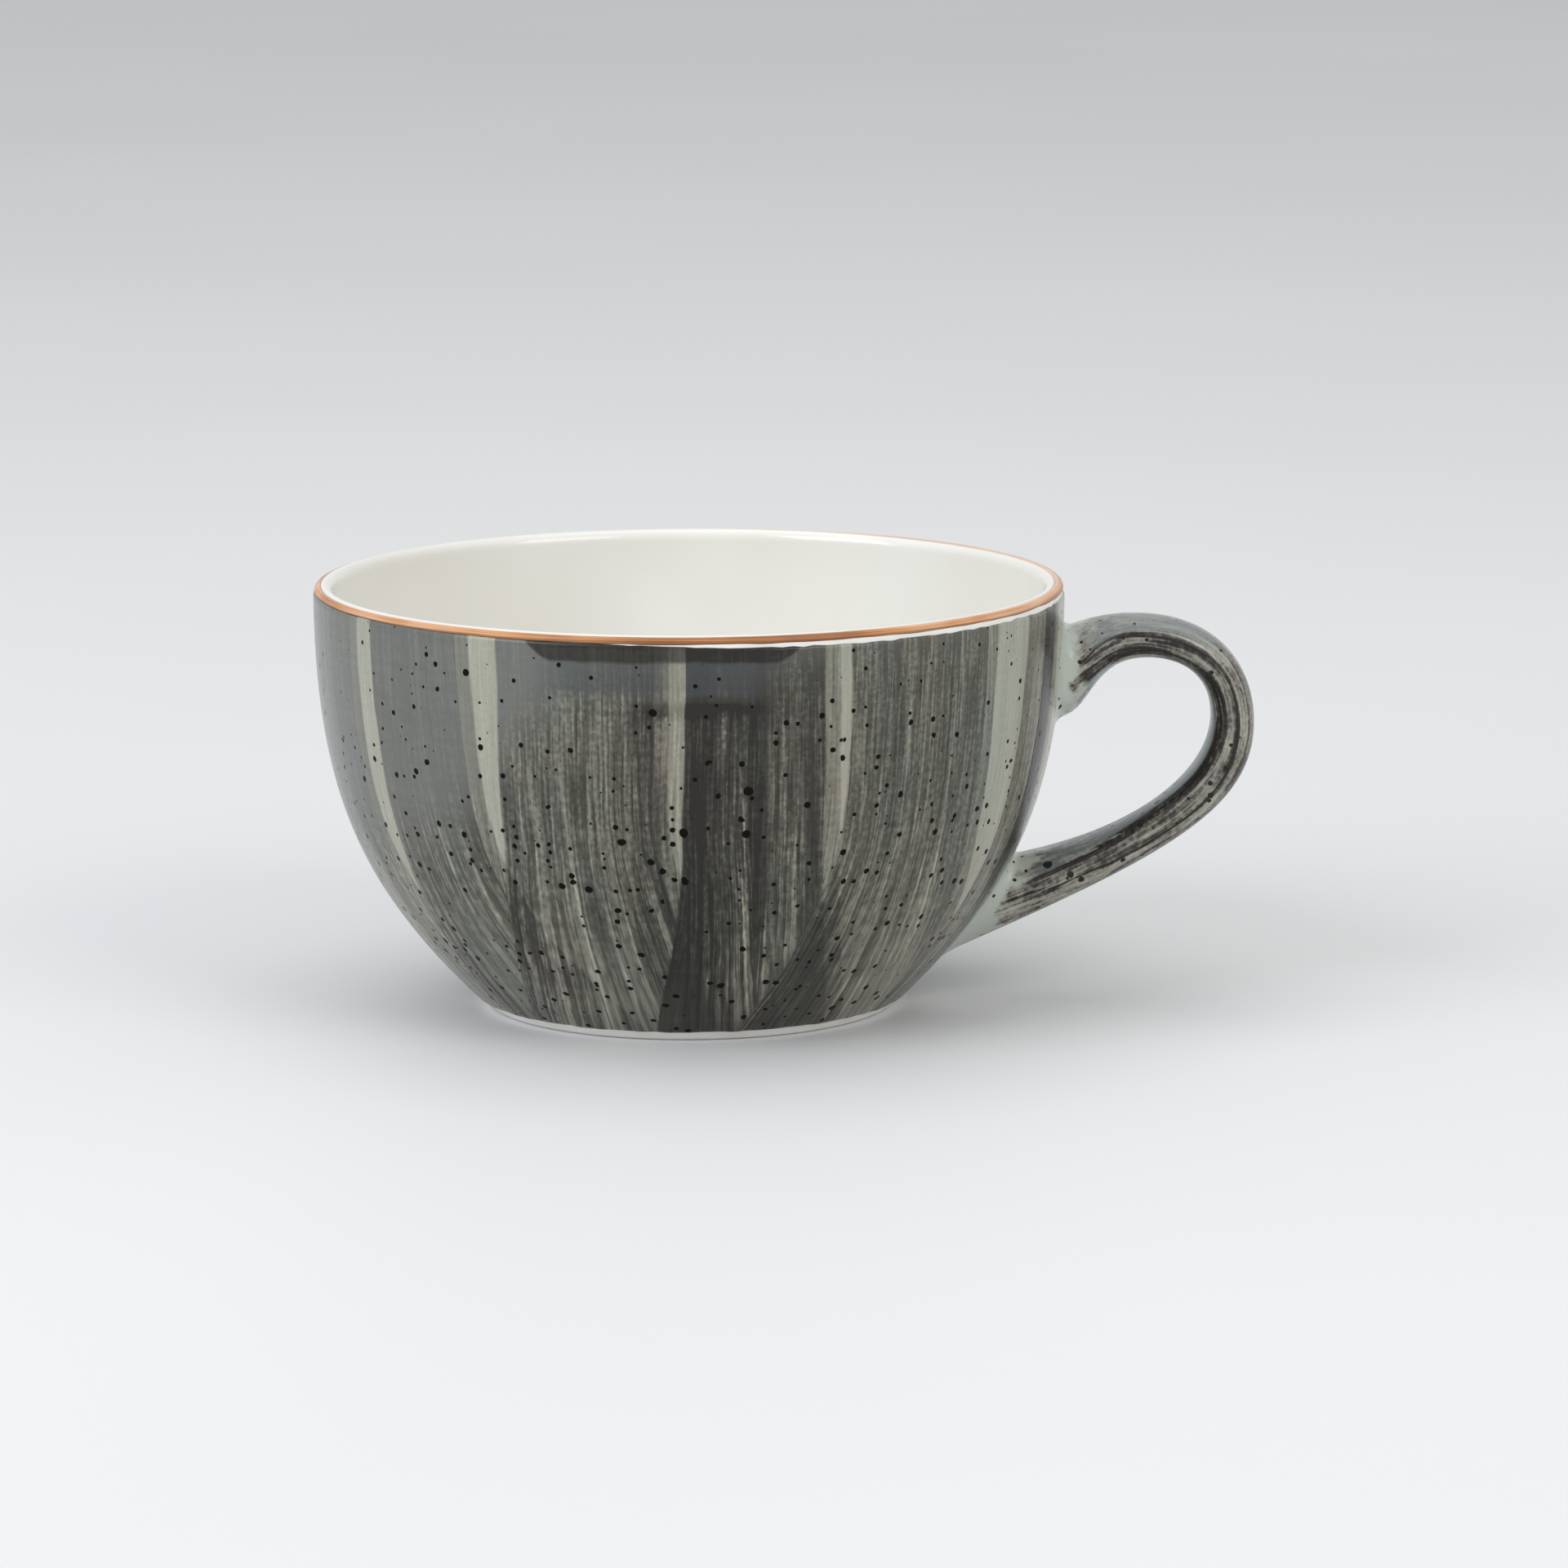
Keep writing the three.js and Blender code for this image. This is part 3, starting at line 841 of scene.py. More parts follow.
def painted_left_sheen(tree, places, fringe):
    """Share of the painted reflection on the left, above a wandering line that lies over the rim elsewhere.
    """
    wander = noise_round(tree, places, *LEFT_SHEEN_CLOUDS, lift=2.0)
    level = LEFT_SHEEN_LEVEL + LEFT_SHEEN_FRINGE / 2
    levels = (level - LEFT_SHEEN_WANDER / 2, level + LEFT_SHEEN_WANDER / 2)
    line = add_node(tree, MAP_RANGE, spread(wander, USUAL_NOISE, levels))
    on_left = facing(tree, places, LEFT_SHEEN_TURN, *LEFT_SHEEN_SPAN)
    raised = add_node(tree, MATH, {
        0: on_left, 1: LEFT_SHEEN_LOWERED, 2: places["height"],
    }, operation="MULTIPLY_ADD")
    above_line = add_node(tree, MATH, {0: raised, 1: line}, operation="SUBTRACT")
    return add_node(tree, MAP_RANGE, {
        "Value": fringed(tree, fringe, LEFT_SHEEN_FRINGE, above_line),
        "From Min": -LEFT_SHEEN_FADE,
        "From Max": LEFT_SHEEN_FADE / 2,
        "To Max": LEFT_SHEEN_SHARE,
    }, interpolation_type="SMOOTHSTEP")


def painted_front_sheen(tree, places, fringe):
    """Share of the painted reflection in an area at the front, under the rim."""
    bottom = FRONT_SHEEN_BOTTOM + FRONT_SHEEN_FRINGE / 2
    upper = add_node(tree, MAP_RANGE, {
        "Value": fringed(tree, fringe, FRONT_SHEEN_FRINGE, places["height"]),
        "From Min": bottom,
        "From Max": bottom + FRONT_SHEEN_FADE,
        "To Max": FRONT_SHEEN_SHARE,
    }, interpolation_type="SMOOTHSTEP")
    at_front = facing(tree, places, FRONT_SHEEN_TURN, *FRONT_SHEEN_SPAN)
    return add_node(tree, MATH, {0: upper, 1: at_front}, operation="MULTIPLY")


print(f"smooth glaze from {LEFT_SHEEN_LEVEL - LEFT_SHEEN_LOWERED:.0f} mm up on the left")

# %% [markdown]
# Two dark smears lie at the front. One is a dark band along the lower edge of the painted reflection at
# the front, broken up in spots. The other one was wiped along under the rim: it is darkest at the top and
# stops at a crisp, wavy edge. Both are counted in coats, so that they darken with the strokes.

# %% Smears at the front
SMEAR_TURN = 3
SMEAR_SPAN = (1, 12)
SMEAR_MIDDLE = 47.4
SMEAR_REACH = (0.2, 1.7)
SMEAR_COATS = 1.3
SMEAR_SPOTS = (6.0, 1.5)
SPOT_NOISE = (0.4, 0.6)
SPOT_LEAST = 0.25
RIM_SMEAR_TURN = -3
RIM_SMEAR_SPAN = (16, 24)
RIM_SMEAR_DEPTH = 3.4
RIM_SMEAR_WAVES = 1.6
RIM_WAVE_SIZES = (7.0, 30.0)
rim_smear_coats = [
    {"from": -0.3, "to": 0.2, "coats": 0.9},
    {"from": 1.4, "to": RIM_SMEAR_DEPTH, "coats": 0.9},
]


def patch_smear(tree, places, fringe, covered):
    """Coats of the spotty dark band along the lower edge of the painted reflection at the front."""
    level = fringed(tree, fringe, FRONT_SHEEN_FRINGE, places["height"])
    from_middle = add_node(tree, MATH, {0: level, 1: SMEAR_MIDDLE + FRONT_SHEEN_FRINGE / 2}, operation="SUBTRACT")
    distance = add_node(tree, MATH, {0: from_middle}, operation="ABSOLUTE")
    smear = add_node(
        tree, MAP_RANGE, spread(distance, SMEAR_REACH, (SMEAR_COATS, 0.0)), interpolation_type="SMOOTHSTEP",
    )
    spots = noise_round(tree, places, *SMEAR_SPOTS, detail=3.0, lift=3.0)
    spotty = add_node(tree, MAP_RANGE, spread(spots, SPOT_NOISE, (SPOT_LEAST, 1.0)))
    for share in (spotty, covered, facing(tree, places, SMEAR_TURN, *SMEAR_SPAN)):
        smear = add_node(tree, MATH, {0: smear, 1: share}, operation="MULTIPLY")
    return smear


def rim_smear(tree, places):
    """Coats of the smear under the rim, from its wavy edge upwards."""
    waves = noise_round(tree, places, *RIM_WAVE_SIZES, lift=5.0)
    wavy_height = add_node(tree, MATH, {
        0: waves, 1: RIM_SMEAR_WAVES, 2: places["height"],
    }, operation="MULTIPLY_ADD")
    edge = add_node(tree, MAP_RANGE, {
        "Value": facing(tree, places, RIM_SMEAR_TURN, *RIM_SMEAR_SPAN),
        "To Min": cup_height + RIM_SMEAR_WAVES,
        "To Max": cup_height - RIM_SMEAR_DEPTH + RIM_SMEAR_WAVES / 2,
    })
    above_edge = add_node(tree, MATH, {0: wavy_height, 1: edge}, operation="SUBTRACT")
    smear = 0.0
    for step in rim_smear_coats:
        layer = add_node(tree, MAP_RANGE, {
            "Value": above_edge, "From Min": step["from"], "From Max": step["to"], "To Max": step["coats"],
        })
        smear = add_node(tree, MATH, {0: layer, 1: smear}, operation="ADD")
    return smear


print(f"smears {RIM_SMEAR_DEPTH} mm deep under the rim and around a height of {SMEAR_MIDDLE} mm")

# %% [markdown]
# Round both joints of the handle the glaze broke thin and pale green over the slip. The distance from
# a joint is measured on the surface, in half widths and half lengths of the joint, so the pale zone is
# an oval, and noise makes its edge ragged.

# %% Pale zones round the joints
JOINT_PALE = "#B3BAB1"
JOINT_RAGS = 2.5
JOINT_RAGGED = 0.8
JOINT_REACH = (1.6, 2.1)
JOINT_LEAST = 0.08
upper_joint = {"middle": cup_height - 12.6, "length": 12, "width": 12}
lower_joint = {"middle": 12.85, "length": 13.3, "width": 12, "spread_start": 0.5}


def kept_from_joint(tree, places, joint):
    """Share of the glaze that stays at a distance from one joint of the handle."""
    sideways = add_node(tree, MATH, {0: places["angle"], 1: places["radius"]}, operation="MULTIPLY")
    upwards = add_node(tree, MATH, {0: places["height"], 1: joint["middle"]}, operation="SUBTRACT")
    spot = add_node(tree, "ShaderNodeCombineXYZ", {"X": sideways, "Y": upwards})
    scaled = add_node(tree, VECTOR_MATH, {
        0: spot, 1: (2 / joint["width"], 2 / joint["length"], 0),
    }, operation="MULTIPLY")
    reach = add_node(tree, VECTOR_MATH, {0: scaled}, operation="LENGTH").outputs["Value"]
    ragged = add_node(tree, NOISE, {"Vector": places["point"], "Scale": 1 / JOINT_RAGS, "Detail": 3.0})
    uneven = add_node(tree, MATH, {0: ragged, 1: JOINT_RAGGED, 2: reach}, operation="MULTIPLY_ADD")
    return add_node(
        tree, MAP_RANGE, spread(uneven, JOINT_REACH, (JOINT_LEAST, 1.0)), interpolation_type="SMOOTHSTEP",
    )


print(f"joints at heights of {upper_joint['middle']:.1f} and {lower_joint['middle']:.1f} mm")

# %% [markdown]
# Now the coats are put together. The streaks make each stroke thinner and thicker, with more contrast
# low down where the brush ran dry, and not under the painted reflection. Faint lines from the turning
# of the cup cross them, and the smears come on top.

# %% Coats of the grey glaze
DRY_HEIGHTS = (4.0, 34.0)
DRY_SHARE = 0.42
STREAK_CONTRAST = (8.0, 4.6)
LEAST_STREAK = 0.1
SMOOTH_GAIN = 0.95
CROSSING_SMOOTH = 0.6
CROSSING_COATS = 0.3
WASH_COATS = 0.3
TURN_LINES = (24.0, 1.0)
TURN_LINE_GAIN = (0.92, 1.08)


def streaked(tree, places, mottled, crossing, painted_sheen):
    """What the streaks make of a coat: 1 on average, less where the brush ran dry."""
    # No streaks where full strokes cross, nor under the painted reflection.
    no_streaks = add_node(tree, MATH, {
        0: crossing, 1: CROSSING_SMOOTH, 2: painted_sheen,
    }, operation="MULTIPLY_ADD")
    contrast = add_node(tree, MAP_RANGE, spread(places["height"], DRY_HEIGHTS, STREAK_CONTRAST))
    centred = add_node(tree, MATH, {0: mottled, 1: 0.5}, operation="SUBTRACT")
    signed_gain = add_node(tree, MATH, {0: centred, 1: contrast, 2: 1.0}, operation="MULTIPLY_ADD")
    streak_gain = add_node(tree, MATH, {0: signed_gain, 1: LEAST_STREAK}, operation="MAXIMUM")
    gain = add_node(tree, MIX, {"Factor": no_streaks, "A": streak_gain, "B": SMOOTH_GAIN})
    drying = add_node(tree, MAP_RANGE, spread(places["height"], DRY_HEIGHTS, (DRY_SHARE, 1.0)))
    return add_node(tree, MATH, {0: gain, 1: drying}, operation="MULTIPLY")


def piled_coats(tree, places, layers, mottled, painted_sheen, kept):
    """Thickness of the strokes in coats, with streaks, turning lines and crossings."""
    thickness, crossing = layers
    held = add_node(tree, MATH, {
        0: streaked(tree, places, mottled, crossing, painted_sheen), 1: kept,
    }, operation="MULTIPLY")
    wash = add_node(tree, MAP_RANGE, spread(mottled, USUAL_NOISE, (0.0, WASH_COATS)))
    brushed = add_node(tree, MATH, {0: thickness, 1: held, 2: wash}, operation="MULTIPLY_ADD")
    turned = noise_round(tree, places, *TURN_LINES, detail=3.0, lift=7.0)
    turn_lines = add_node(tree, MAP_RANGE, spread(turned, USUAL_NOISE, TURN_LINE_GAIN))
    crossed = add_node(tree, MATH, {0: brushed, 1: turn_lines}, operation="MULTIPLY")
    return add_node(tree, MATH, {0: crossing, 1: CROSSING_COATS, 2: crossed}, operation="MULTIPLY_ADD")


print(f"streaks are {STREAK_CONTRAST[0] / STREAK_CONTRAST[1]:.1f} times as strong near the foot")

# %% [markdown]
# Thickness turns to colour through a ramp: pale where there is little glaze and almost black where
# two coats lie on each other. Slow clouds tint it a little warmer or greener. The painted reflection is
# mixed over it in blue grey, but not where a smear covers it, and the specks over everything. A
# little bump follows the thickness, so that thick strokes stand up from the pale gaps.

# %% Brushed grey glaze
COATS_SHOWN = 3.0
HUE_CLOUDS = 11.0
HUE_SHARE = 0.7
SMEAR_COVERS = 0.8
# Blue greys of the painted reflection on the left and at the front.
PAINTED_LEFT_SHEEN_BLUE = "#717472"
PAINTED_FRONT_SHEEN_BLUE = "#484D50"
GLAZE_SHINE = 0.3
SPECK_SHINE = 0.05
SPECK_RELIEF = 0.6


def glaze_ramp(tree, coats, stops):
    """Colour of the glaze by its thickness in coats."""
    share = add_node(tree, MATH, {0: coats, 1: COATS_SHOWN}, operation="DIVIDE")
    ramp = add_node(tree, RAMP, {0: share})
    set_stops(ramp, stops)
    return ramp


def cooled_zones(tree, colour, zones, limit):
    """A colour with zones of blue grey mixed over it, each up to its share times a limit."""
    for zone, blue in zones:
        share = add_node(tree, MATH, {0: zone, 1: limit}, operation="MULTIPLY")
        colour = add_node(tree, MIX, {"Factor": share, "A": colour, "B": linear(blue)}, data_type="RGBA")
    return colour


def grey_hues(tree, places, coats):
    """Grey by thickness, tinted by slow clouds."""
    grey = glaze_ramp(tree, coats, [
        (0.0, "#AFB0A5"), (0.12, "#8A897F"), (0.33, "#585751"), (0.5, "#3C3B36"), (0.8, "#24221F"),
    ])
    hue = add_node(tree, RAMP, {0: noise_round(tree, places, HUE_CLOUDS, 2 * HUE_CLOUDS, lift=1.0)})
    set_stops(hue, [(0.3, "#B6AEA6"), (0.5, "#B4B3AB"), (0.7, "#A9B3AE")])
    return add_node(tree, MIX, {
        "Factor": HUE_SHARE, "A": grey, "B": hue,
    }, data_type="RGBA", blend_type="SOFT_LIGHT")


def brushed_grey_glaze():
    material, tree, shader = new_material("grey_glaze_brushed_on", IOR=GLAZE_IOR)
    places = bowl_places(tree)
    thickness, crossing, across, number = stroke_layers(tree, places)
    bristles, mottled = brush_marks(tree, places, across, number)
    # Painted reflection: a bluish sheen on the left and at the front, which also hides the streaks.
    left_sheen = painted_left_sheen(tree, places, mottled)
    front_sheen = painted_front_sheen(tree, places, mottled)
    painted_sheen = add_node(tree, MATH, {0: left_sheen, 1: front_sheen}, operation="MAXIMUM")
    kept = add_node(tree, MATH, {
        0: kept_from_joint(tree, places, upper_joint), 1: kept_from_joint(tree, places, lower_joint),
    }, operation="MULTIPLY")
    piled = piled_coats(tree, places, (thickness, crossing), mottled, painted_sheen, kept)
    covered = add_node(tree, MATH, {0: thickness, 1: 1.0}, operation="MINIMUM")
    smeared = add_node(tree, MATH, {
        0: patch_smear(tree, places, mottled, covered), 1: rim_smear(tree, places),
    }, operation="ADD")
    coats = add_node(tree, MATH, {0: piled, 1: smeared}, operation="ADD")

    not_smeared = add_node(tree, MAP_RANGE, {
        "Value": smeared, "From Max": SMEAR_COVERS, "To Min": 1.0, "To Max": 0.0,
    })
    # The painted reflection shows over laid glaze only, and not under the smears.
    sheen_shown = add_node(tree, MATH, {0: covered, 1: not_smeared}, operation="MULTIPLY")
    zones = ((left_sheen, PAINTED_LEFT_SHEEN_BLUE), (front_sheen, PAINTED_FRONT_SHEEN_BLUE))
    cooled = cooled_zones(tree, grey_hues(tree, places, coats), zones, sheen_shown)
    jointed = add_node(tree, MIX, {"Factor": kept, "A": linear(JOINT_PALE), "B": cooled}, data_type="RGBA")
    specks = iron_specks(tree, places)
    colour = add_node(tree, MIX, {
        "Factor": specks, "A": jointed, "B": linear(SPECK_BLACK),
    }, data_type="RGBA")
    rough = add_node(tree, MAP_RANGE, {"Value": bristles, "To Min": 0.14, "To Max": 0.3})
    relief = add_node(tree, MATH, {0: specks, 1: SPECK_RELIEF, 2: coats}, operation="MULTIPLY_ADD")
    bump = add_node(tree, BUMP, {"Height": relief, "Strength": 0.3, "Distance": 0.04 * MM})
    shine = add_node(tree, MAP_RANGE, {"Value": specks, "To Min": GLAZE_SHINE, "To Max": SPECK_SHINE})
    fill(tree, shader, {
        "Base Color": colour, "Roughness": rough, "Specular IOR Level": shine, "Normal": bump,
    })
    return material


grey_glaze = brushed_grey_glaze()
print(grey_glaze.name, "has", len(grey_glaze.node_tree.nodes), "nodes")

# %% [markdown]
# The outer coat covers the wall from a pale foot edge to the lower edge of the brown band. On the left
# the brush ran right up to the band. From the front on, and all along the right, it stayed more than
# half a millimetre below, so there a bare white line with a ragged edge opens between them.

# %% Outer coat
bare_foot_edge = 1.1
glaze_top_angle = 17
GLAZE_POINTS = 110
HAIRLINE = 0.33
HAIRLINE_TURN = 4.5
LEAST_HAIRLINE = 0.02
HAIRLINE_SWINGS = (0.05, 0.07)
HAIRLINE_REACH = 3.0
FOOT_SWING = 0.09
FOOT_REACH = 0.9


def rising_stretch(points, low, high):
    """The part of a rising line between two heights, with exact ends."""
    inside = points[(points[:, 1] > low) & (points[:, 1] < high)]
    ends = [(np.interp(z, points[:, 1], points[:, 0]), z) for z in (low, high)]
    return np.concatenate([[ends[0]], inside, [ends[1]]])


def hairline(angle):
    """Width of the bare line under the band at an angle from the handle."""
    opened = 1 + math.tanh(HAIRLINE_TURN * math.cos(angle))
    swings = HAIRLINE_SWINGS[0] * quick_swings(angle) + HAIRLINE_SWINGS[1] * bristle_swings(angle)
    return max(LEAST_HAIRLINE, opened * (HAIRLINE + swings))


outside = np.concatenate([wall, arc(lip_centre, lip_radius, 0, glaze_top_angle)[1:]])
glaze_line = rising_stretch(outside, wall_start[1] + bare_foot_edge, outside[-1][1])
outer_work = spun(coat(closer_at_ends(glaze_line, GLAZE_POINTS), glaze_thickness))
nudge_edge(outer_work, glaze_line[-1][1], HAIRLINE_REACH, lambda angle: -hairline(angle))
nudge_edge(outer_work, glaze_line[0][1], FOOT_REACH, lambda angle: FOOT_SWING * quick_swings(angle))
finished(outer_work, "outer_coat", "outer_glaze", grey_glaze)

# %% [markdown]
# The handle is a strap with a rounded, slightly flat section that bends from the rim's side down to
# the foot. Seen from the side it lies between two edge lines, an outer and an inner one, each made of
# three Bezier stretches: up to the crest, round the bend and down to the wall. Curves with a bevel
# could make it too, but then the section couldn't widen towards both joints in its own way.

# %% Edge lines of the handle
finger_gap = {"reach": 19.6, "drop": 10.6, "crest": 11, "side_drop": 18.5}
strap = {"thickness": 5.8, "width": 9, "crest": 9.4, "side_drop": 19.5, "roundness": 2.4}
outer_run = {"start_slope": 17, "start_pull": 3, "top_pull": 4.4, "bend_share": 0.61, "side_pull": 12.5,
             "end_slope": 24, "end_pull": 30.8}
inner_run = {"start_slope": 2, "start_pull": 4.9, "top_pull": 7.9, "bend_share": 0.62, "side_pull": 8.3,
             "end_slope": 10, "end_pull": 15.9}
ROOT_LENGTH = 6.0
ROOT_STEPS = 60

glaze_face = beside(wall, glaze_thickness)


def on_wall(height):
    """The point of the glazed wall at a height."""
    return (float(np.interp(height, glaze_face[:, 1], glaze_face[:, 0])), height)


def edge_line(start, top, side, finish, run):
    """One edge of the strap from joint to joint, with a straight root into the wall at both ends."""
    bend_out = (side[0] - top[0]) * run["bend_share"]
    bend_up = (top[1] - side[1]) * run["bend_share"]
    to_crest = curve(start, towards(start, run["start_slope"], run["start_pull"]),
                     towards(top, 180, run["top_pull"]), top)
    round_bend = curve(top, towards(top, 0, bend_out), towards(side, 90, bend_up), side)
    to_wall = curve(side, towards(side, -90, run["side_pull"]),
                    towards(finish, run["end_slope"], run["end_pull"]), finish)
    reach = np.linspace(ROOT_LENGTH, 0, ROOT_STEPS, endpoint=False)
    first_root = [towards(start, run["start_slope"] + 180, length) for length in reach]
    last_root = [towards(finish, run["end_slope"] + 180, length) for length in reach[::-1]]
    return np.concatenate([first_root, to_crest, round_bend[1:], to_wall[1:], last_root])


gap_top = (rim_radius + finger_gap["crest"], cup_height - finger_gap["drop"])
gap_side = (rim_radius + finger_gap["reach"], cup_height - finger_gap["side_drop"])
strap_top = (rim_radius + strap["crest"], gap_top[1] + strap["thickness"])
strap_side = (gap_side[0] + strap["thickness"], cup_height - strap["side_drop"])
upper_ends, lower_ends = ([on_wall(joint["middle"] + side * joint["length"] / 2) for side in (-1, 1)]
                          for joint in (upper_joint, lower_joint))
outer_edge = edge_line(upper_ends[1], strap_top, strap_side, lower_ends[0], outer_run)
inner_edge = edge_line(upper_ends[0], gap_top, gap_side, lower_ends[1], inner_run)
print(f"the handle reaches {strap_side[0]:.1f} mm from the bowl's axis")

# %% [markdown]
# The section at each place is a superellipse between the two edges: rounder than a box, fuller than
# an ellipse. The lines that run along the strap at each angle round the section are laid out once, as
# a grid of points. The distance of each point from the glazed wall then says where each line meets
# the wall, so the strap ends exactly on the curved surface.

# %% Grid of the strap
STRAP_SIDES = 64
section_angles = np.linspace(0, 2 * math.pi, STRAP_SIDES, endpoint=False)


def bulge(values):
    """Cosines or sines bent to a superellipse."""
    return np.sign(values) * np.abs(values) ** (2 / strap["roundness"])


stations = (np.arange(len(outer_edge)) - ROOT_STEPS) / CURVE_STEPS
strap_widths = (
    strap["width"]
    + (upper_joint["width"] - strap["width"]) * (1 - smooth(stations))
    + (lower_joint["width"] - strap["width"])
    * smooth((stations - 2 - lower_joint["spread_start"]) / (1 - lower_joint["spread_start"]))
)
middle_line = (outer_edge + inner_edge) / 2
half_line = (outer_edge - inner_edge) / 2
half_lengths = np.linalg.norm(half_line, axis=1)
middle_run = lengths_along(middle_line)


def strap_points(station, margin):
    """Points of the strap at one station for each angle round the section, grown by a margin."""
    def at(values):
        return np.interp(station, stations, values)

    half = np.column_stack([at(half_line[:, 0]), at(half_line[:, 1])])
    half_length = at(half_lengths)
    thick = (half_length + margin) * bulge(np.cos(section_angles))
    wide = (at(strap_widths) / 2 + margin) * bulge(np.sin(section_angles))
    x = at(middle_line[:, 0]) + half[:, 0] / half_length * thick
    z = at(middle_line[:, 1]) + half[:, 1] / half_length * thick
    return np.column_stack([x, wide, z]), np.column_stack([at(middle_run), thick, wide])


def wall_gap(points):
    """Distance of points from the glazed wall, less than 0 inside it, and the way out from it."""
    flat = np.column_stack([np.hypot(points[:, 0], points[:, 1]), points[:, 2]])
    nearest = np.argmin(np.linalg.norm(flat[:, None] - glaze_face[None], axis=2), axis=1)
    way = np.gradient(glaze_face, axis=0)[nearest]
    way /= np.linalg.norm(way, axis=1, keepdims=True)
    out = np.column_stack([way[:, 1], -way[:, 0]])
    gap = np.sum((flat - glaze_face[nearest]) * out, axis=1)
    turn = points[:, :2] / np.linalg.norm(points[:, :2], axis=1, keepdims=True)
    return gap, np.column_stack([turn * out[:, :1], out[:, 1]])


line_gaps = np.array([wall_gap(strap_points(np.full(STRAP_SIDES, s), 0)[0])[0] for s in stations]).T
print(f"{STRAP_SIDES} lines with {len(stations)} stations, farthest {line_gaps.max():.1f} mm from the wall")

# %% [markdown]
# Where the strap meets the wall, slip was smoothed into the corner with a wet finger and the glaze ran
# into it, so the joint is a hollow fillet, wider at the sides than at the edges. Each ring of the
# fillet keeps a set distance from the wall while its section grows by the matching margin of a
# quarter circle, and the last ring lies just under the wall's face.

# %% Rings of the handle
FILLET_AT_EDGES = 1.0
FILLET_AT_SIDES = 2.0
FILLET_RINGS = 9
STRAP_RINGS = 96
SUNK = 0.12
fillet = FILLET_AT_EDGES + (FILLET_AT_SIDES - FILLET_AT_EDGES) * np.abs(np.sin(section_angles))


def stations_at_gap(levels, upper):
    """For each line, the station at which it first reaches a distance from the wall, from one end."""
    found = []
    for gaps, level in zip(line_gaps, levels):
        order = slice(None) if upper else slice(None, None, -1)
        row, places = gaps[order], stations[order]
        first = int(np.argmax(row >= level))
        share = (level - row[first - 1]) / (row[first] - row[first - 1])
        found.append(places[first - 1] + share * (places[first] - places[first - 1]))
    return np.array(found)


def ring_at_gap(levels, margin, upper):
    """A ring that keeps a distance from the wall all round, with its place on the strap."""
    points, places = strap_points(stations_at_gap(levels, upper), margin)
    gap, out = wall_gap(points)
    return points + out * (levels - gap)[:, None], places


def fillet_rings(upper):
    """Rings from under the wall's face up to where the fillet ends, with their distances."""
    rings = [(*ring_at_gap(np.full(STRAP_SIDES, -SUNK), fillet, upper), np.zeros(STRAP_SIDES))]
    for turn in np.linspace(0, math.pi / 2, FILLET_RINGS):
        levels = fillet * (1 - math.cos(turn))
        rings.append((*ring_at_gap(levels, fillet * (1 - math.sin(turn)), upper), levels))
    return rings


def strap_rings(levels, margin, count):
    """Rings from one joint to the other, evenly spaced along each line, without the end ones."""
    first, last = stations_at_gap(levels, True), stations_at_gap(levels, False)
    first_run, last_run = (np.interp(ends, stations, middle_run) for ends in (first, last))
    rings = []
    for share in np.linspace(0, 1, count + 2)[1:-1]:
        here = np.interp(first_run + (last_run - first_run) * share, middle_run, stations)
        points, places = strap_points(here, np.full(STRAP_SIDES, margin))
        rings.append((points, places, wall_gap(points)[0]))
    return rings


glaze_rings = fillet_rings(True) + strap_rings(fillet, 0.0, STRAP_RINGS) + fillet_rings(False)[::-1]
print(f"{len(glaze_rings)} rings for the glaze of the handle")

# %% [markdown]
# Each ring starts as a circle from the operator, its vertices move to their places, and neighbouring
# rings are bridged. Two attributes ride along for the material: where a point is on the strap, in
# millimetres along, through and across it, and how far it is from the wall.

# %% Bridge the rings
def bridged(rings, closed):
    """A bmesh of rings joined one after the other, with capped ends if it is to be solid."""
    work = bmesh.new()
    on_strap = work.verts.layers.float_vector.new("strap_place")
    from_wall = work.verts.layers.float.new("wall_distance")
    loops = []
    for points, places, gaps in rings:
        verts = bmesh.ops.create_circle(work, cap_ends=False, segments=STRAP_SIDES, radius=MM)["verts"]
        for vert, point, place, gap in zip(verts, points, places, gaps):
            vert.co = (point + (bowl_axis, 0, 0)) * MM
            vert[on_strap] = place
            vert[from_wall] = gap
        loops.append(list({edge for vert in verts for edge in vert.link_edges}))
    for loop, following in zip(loops, loops[1:]):
        bmesh.ops.bridge_loops(work, edges=loop + following)
    if closed:
        bmesh.ops.edgeloop_fill(work, edges=loops[0])
        bmesh.ops.edgeloop_fill(work, edges=loops[-1])
    bmesh.ops.recalc_face_normals(work, faces=work.faces)
    return work


print(f"{len(glaze_rings) - 1} bridges of {STRAP_SIDES} faces each")

# %% [markdown]
# The handle's glaze was brushed on along the strap. On the sides it lies in ribbons: a brown black one
# beside the inner edge, a thin black line farther out and a pale strip along the outer edge. A curve
# gives the thickness for each place through the strap, from the inner face to the outer one, and
# noise along the strap makes the ribbons wander. All of it follows the strap's own attribute, so the
# pattern bends with the handle.

# %% Ribbons along the strap
RIBBON_WIDTH = 1.6
RIBBON_LENGTH = 26.0
RIBBON_WANDER = 2.6
RIBBON_NOISE = (0.25, 0.75)
ribbon_coats = [
    (-2.9, 1.5), (-2.75, 1.8), (-2.45, 2.8), (-1.2, 2.9), (-0.8, 0.9), (0.2, 1.0), (0.45, 3.0), (1.0, 3.0),
    (1.25, 0.7), (2.2, 0.6), (2.55, 1.4), (2.9, 0.9),
]


def strap_noise(tree, place, width, length):
    """Noise stretched along the strap."""
    spot = add_node(tree, "ShaderNodeMapping", {
        "Vector": place.outputs["Vector"], "Scale": (1 / length, 1 / width, 1 / width),
    })
    return add_node(tree, NOISE, {"Vector": spot, "Scale": 1.0, "Detail": 2.0})


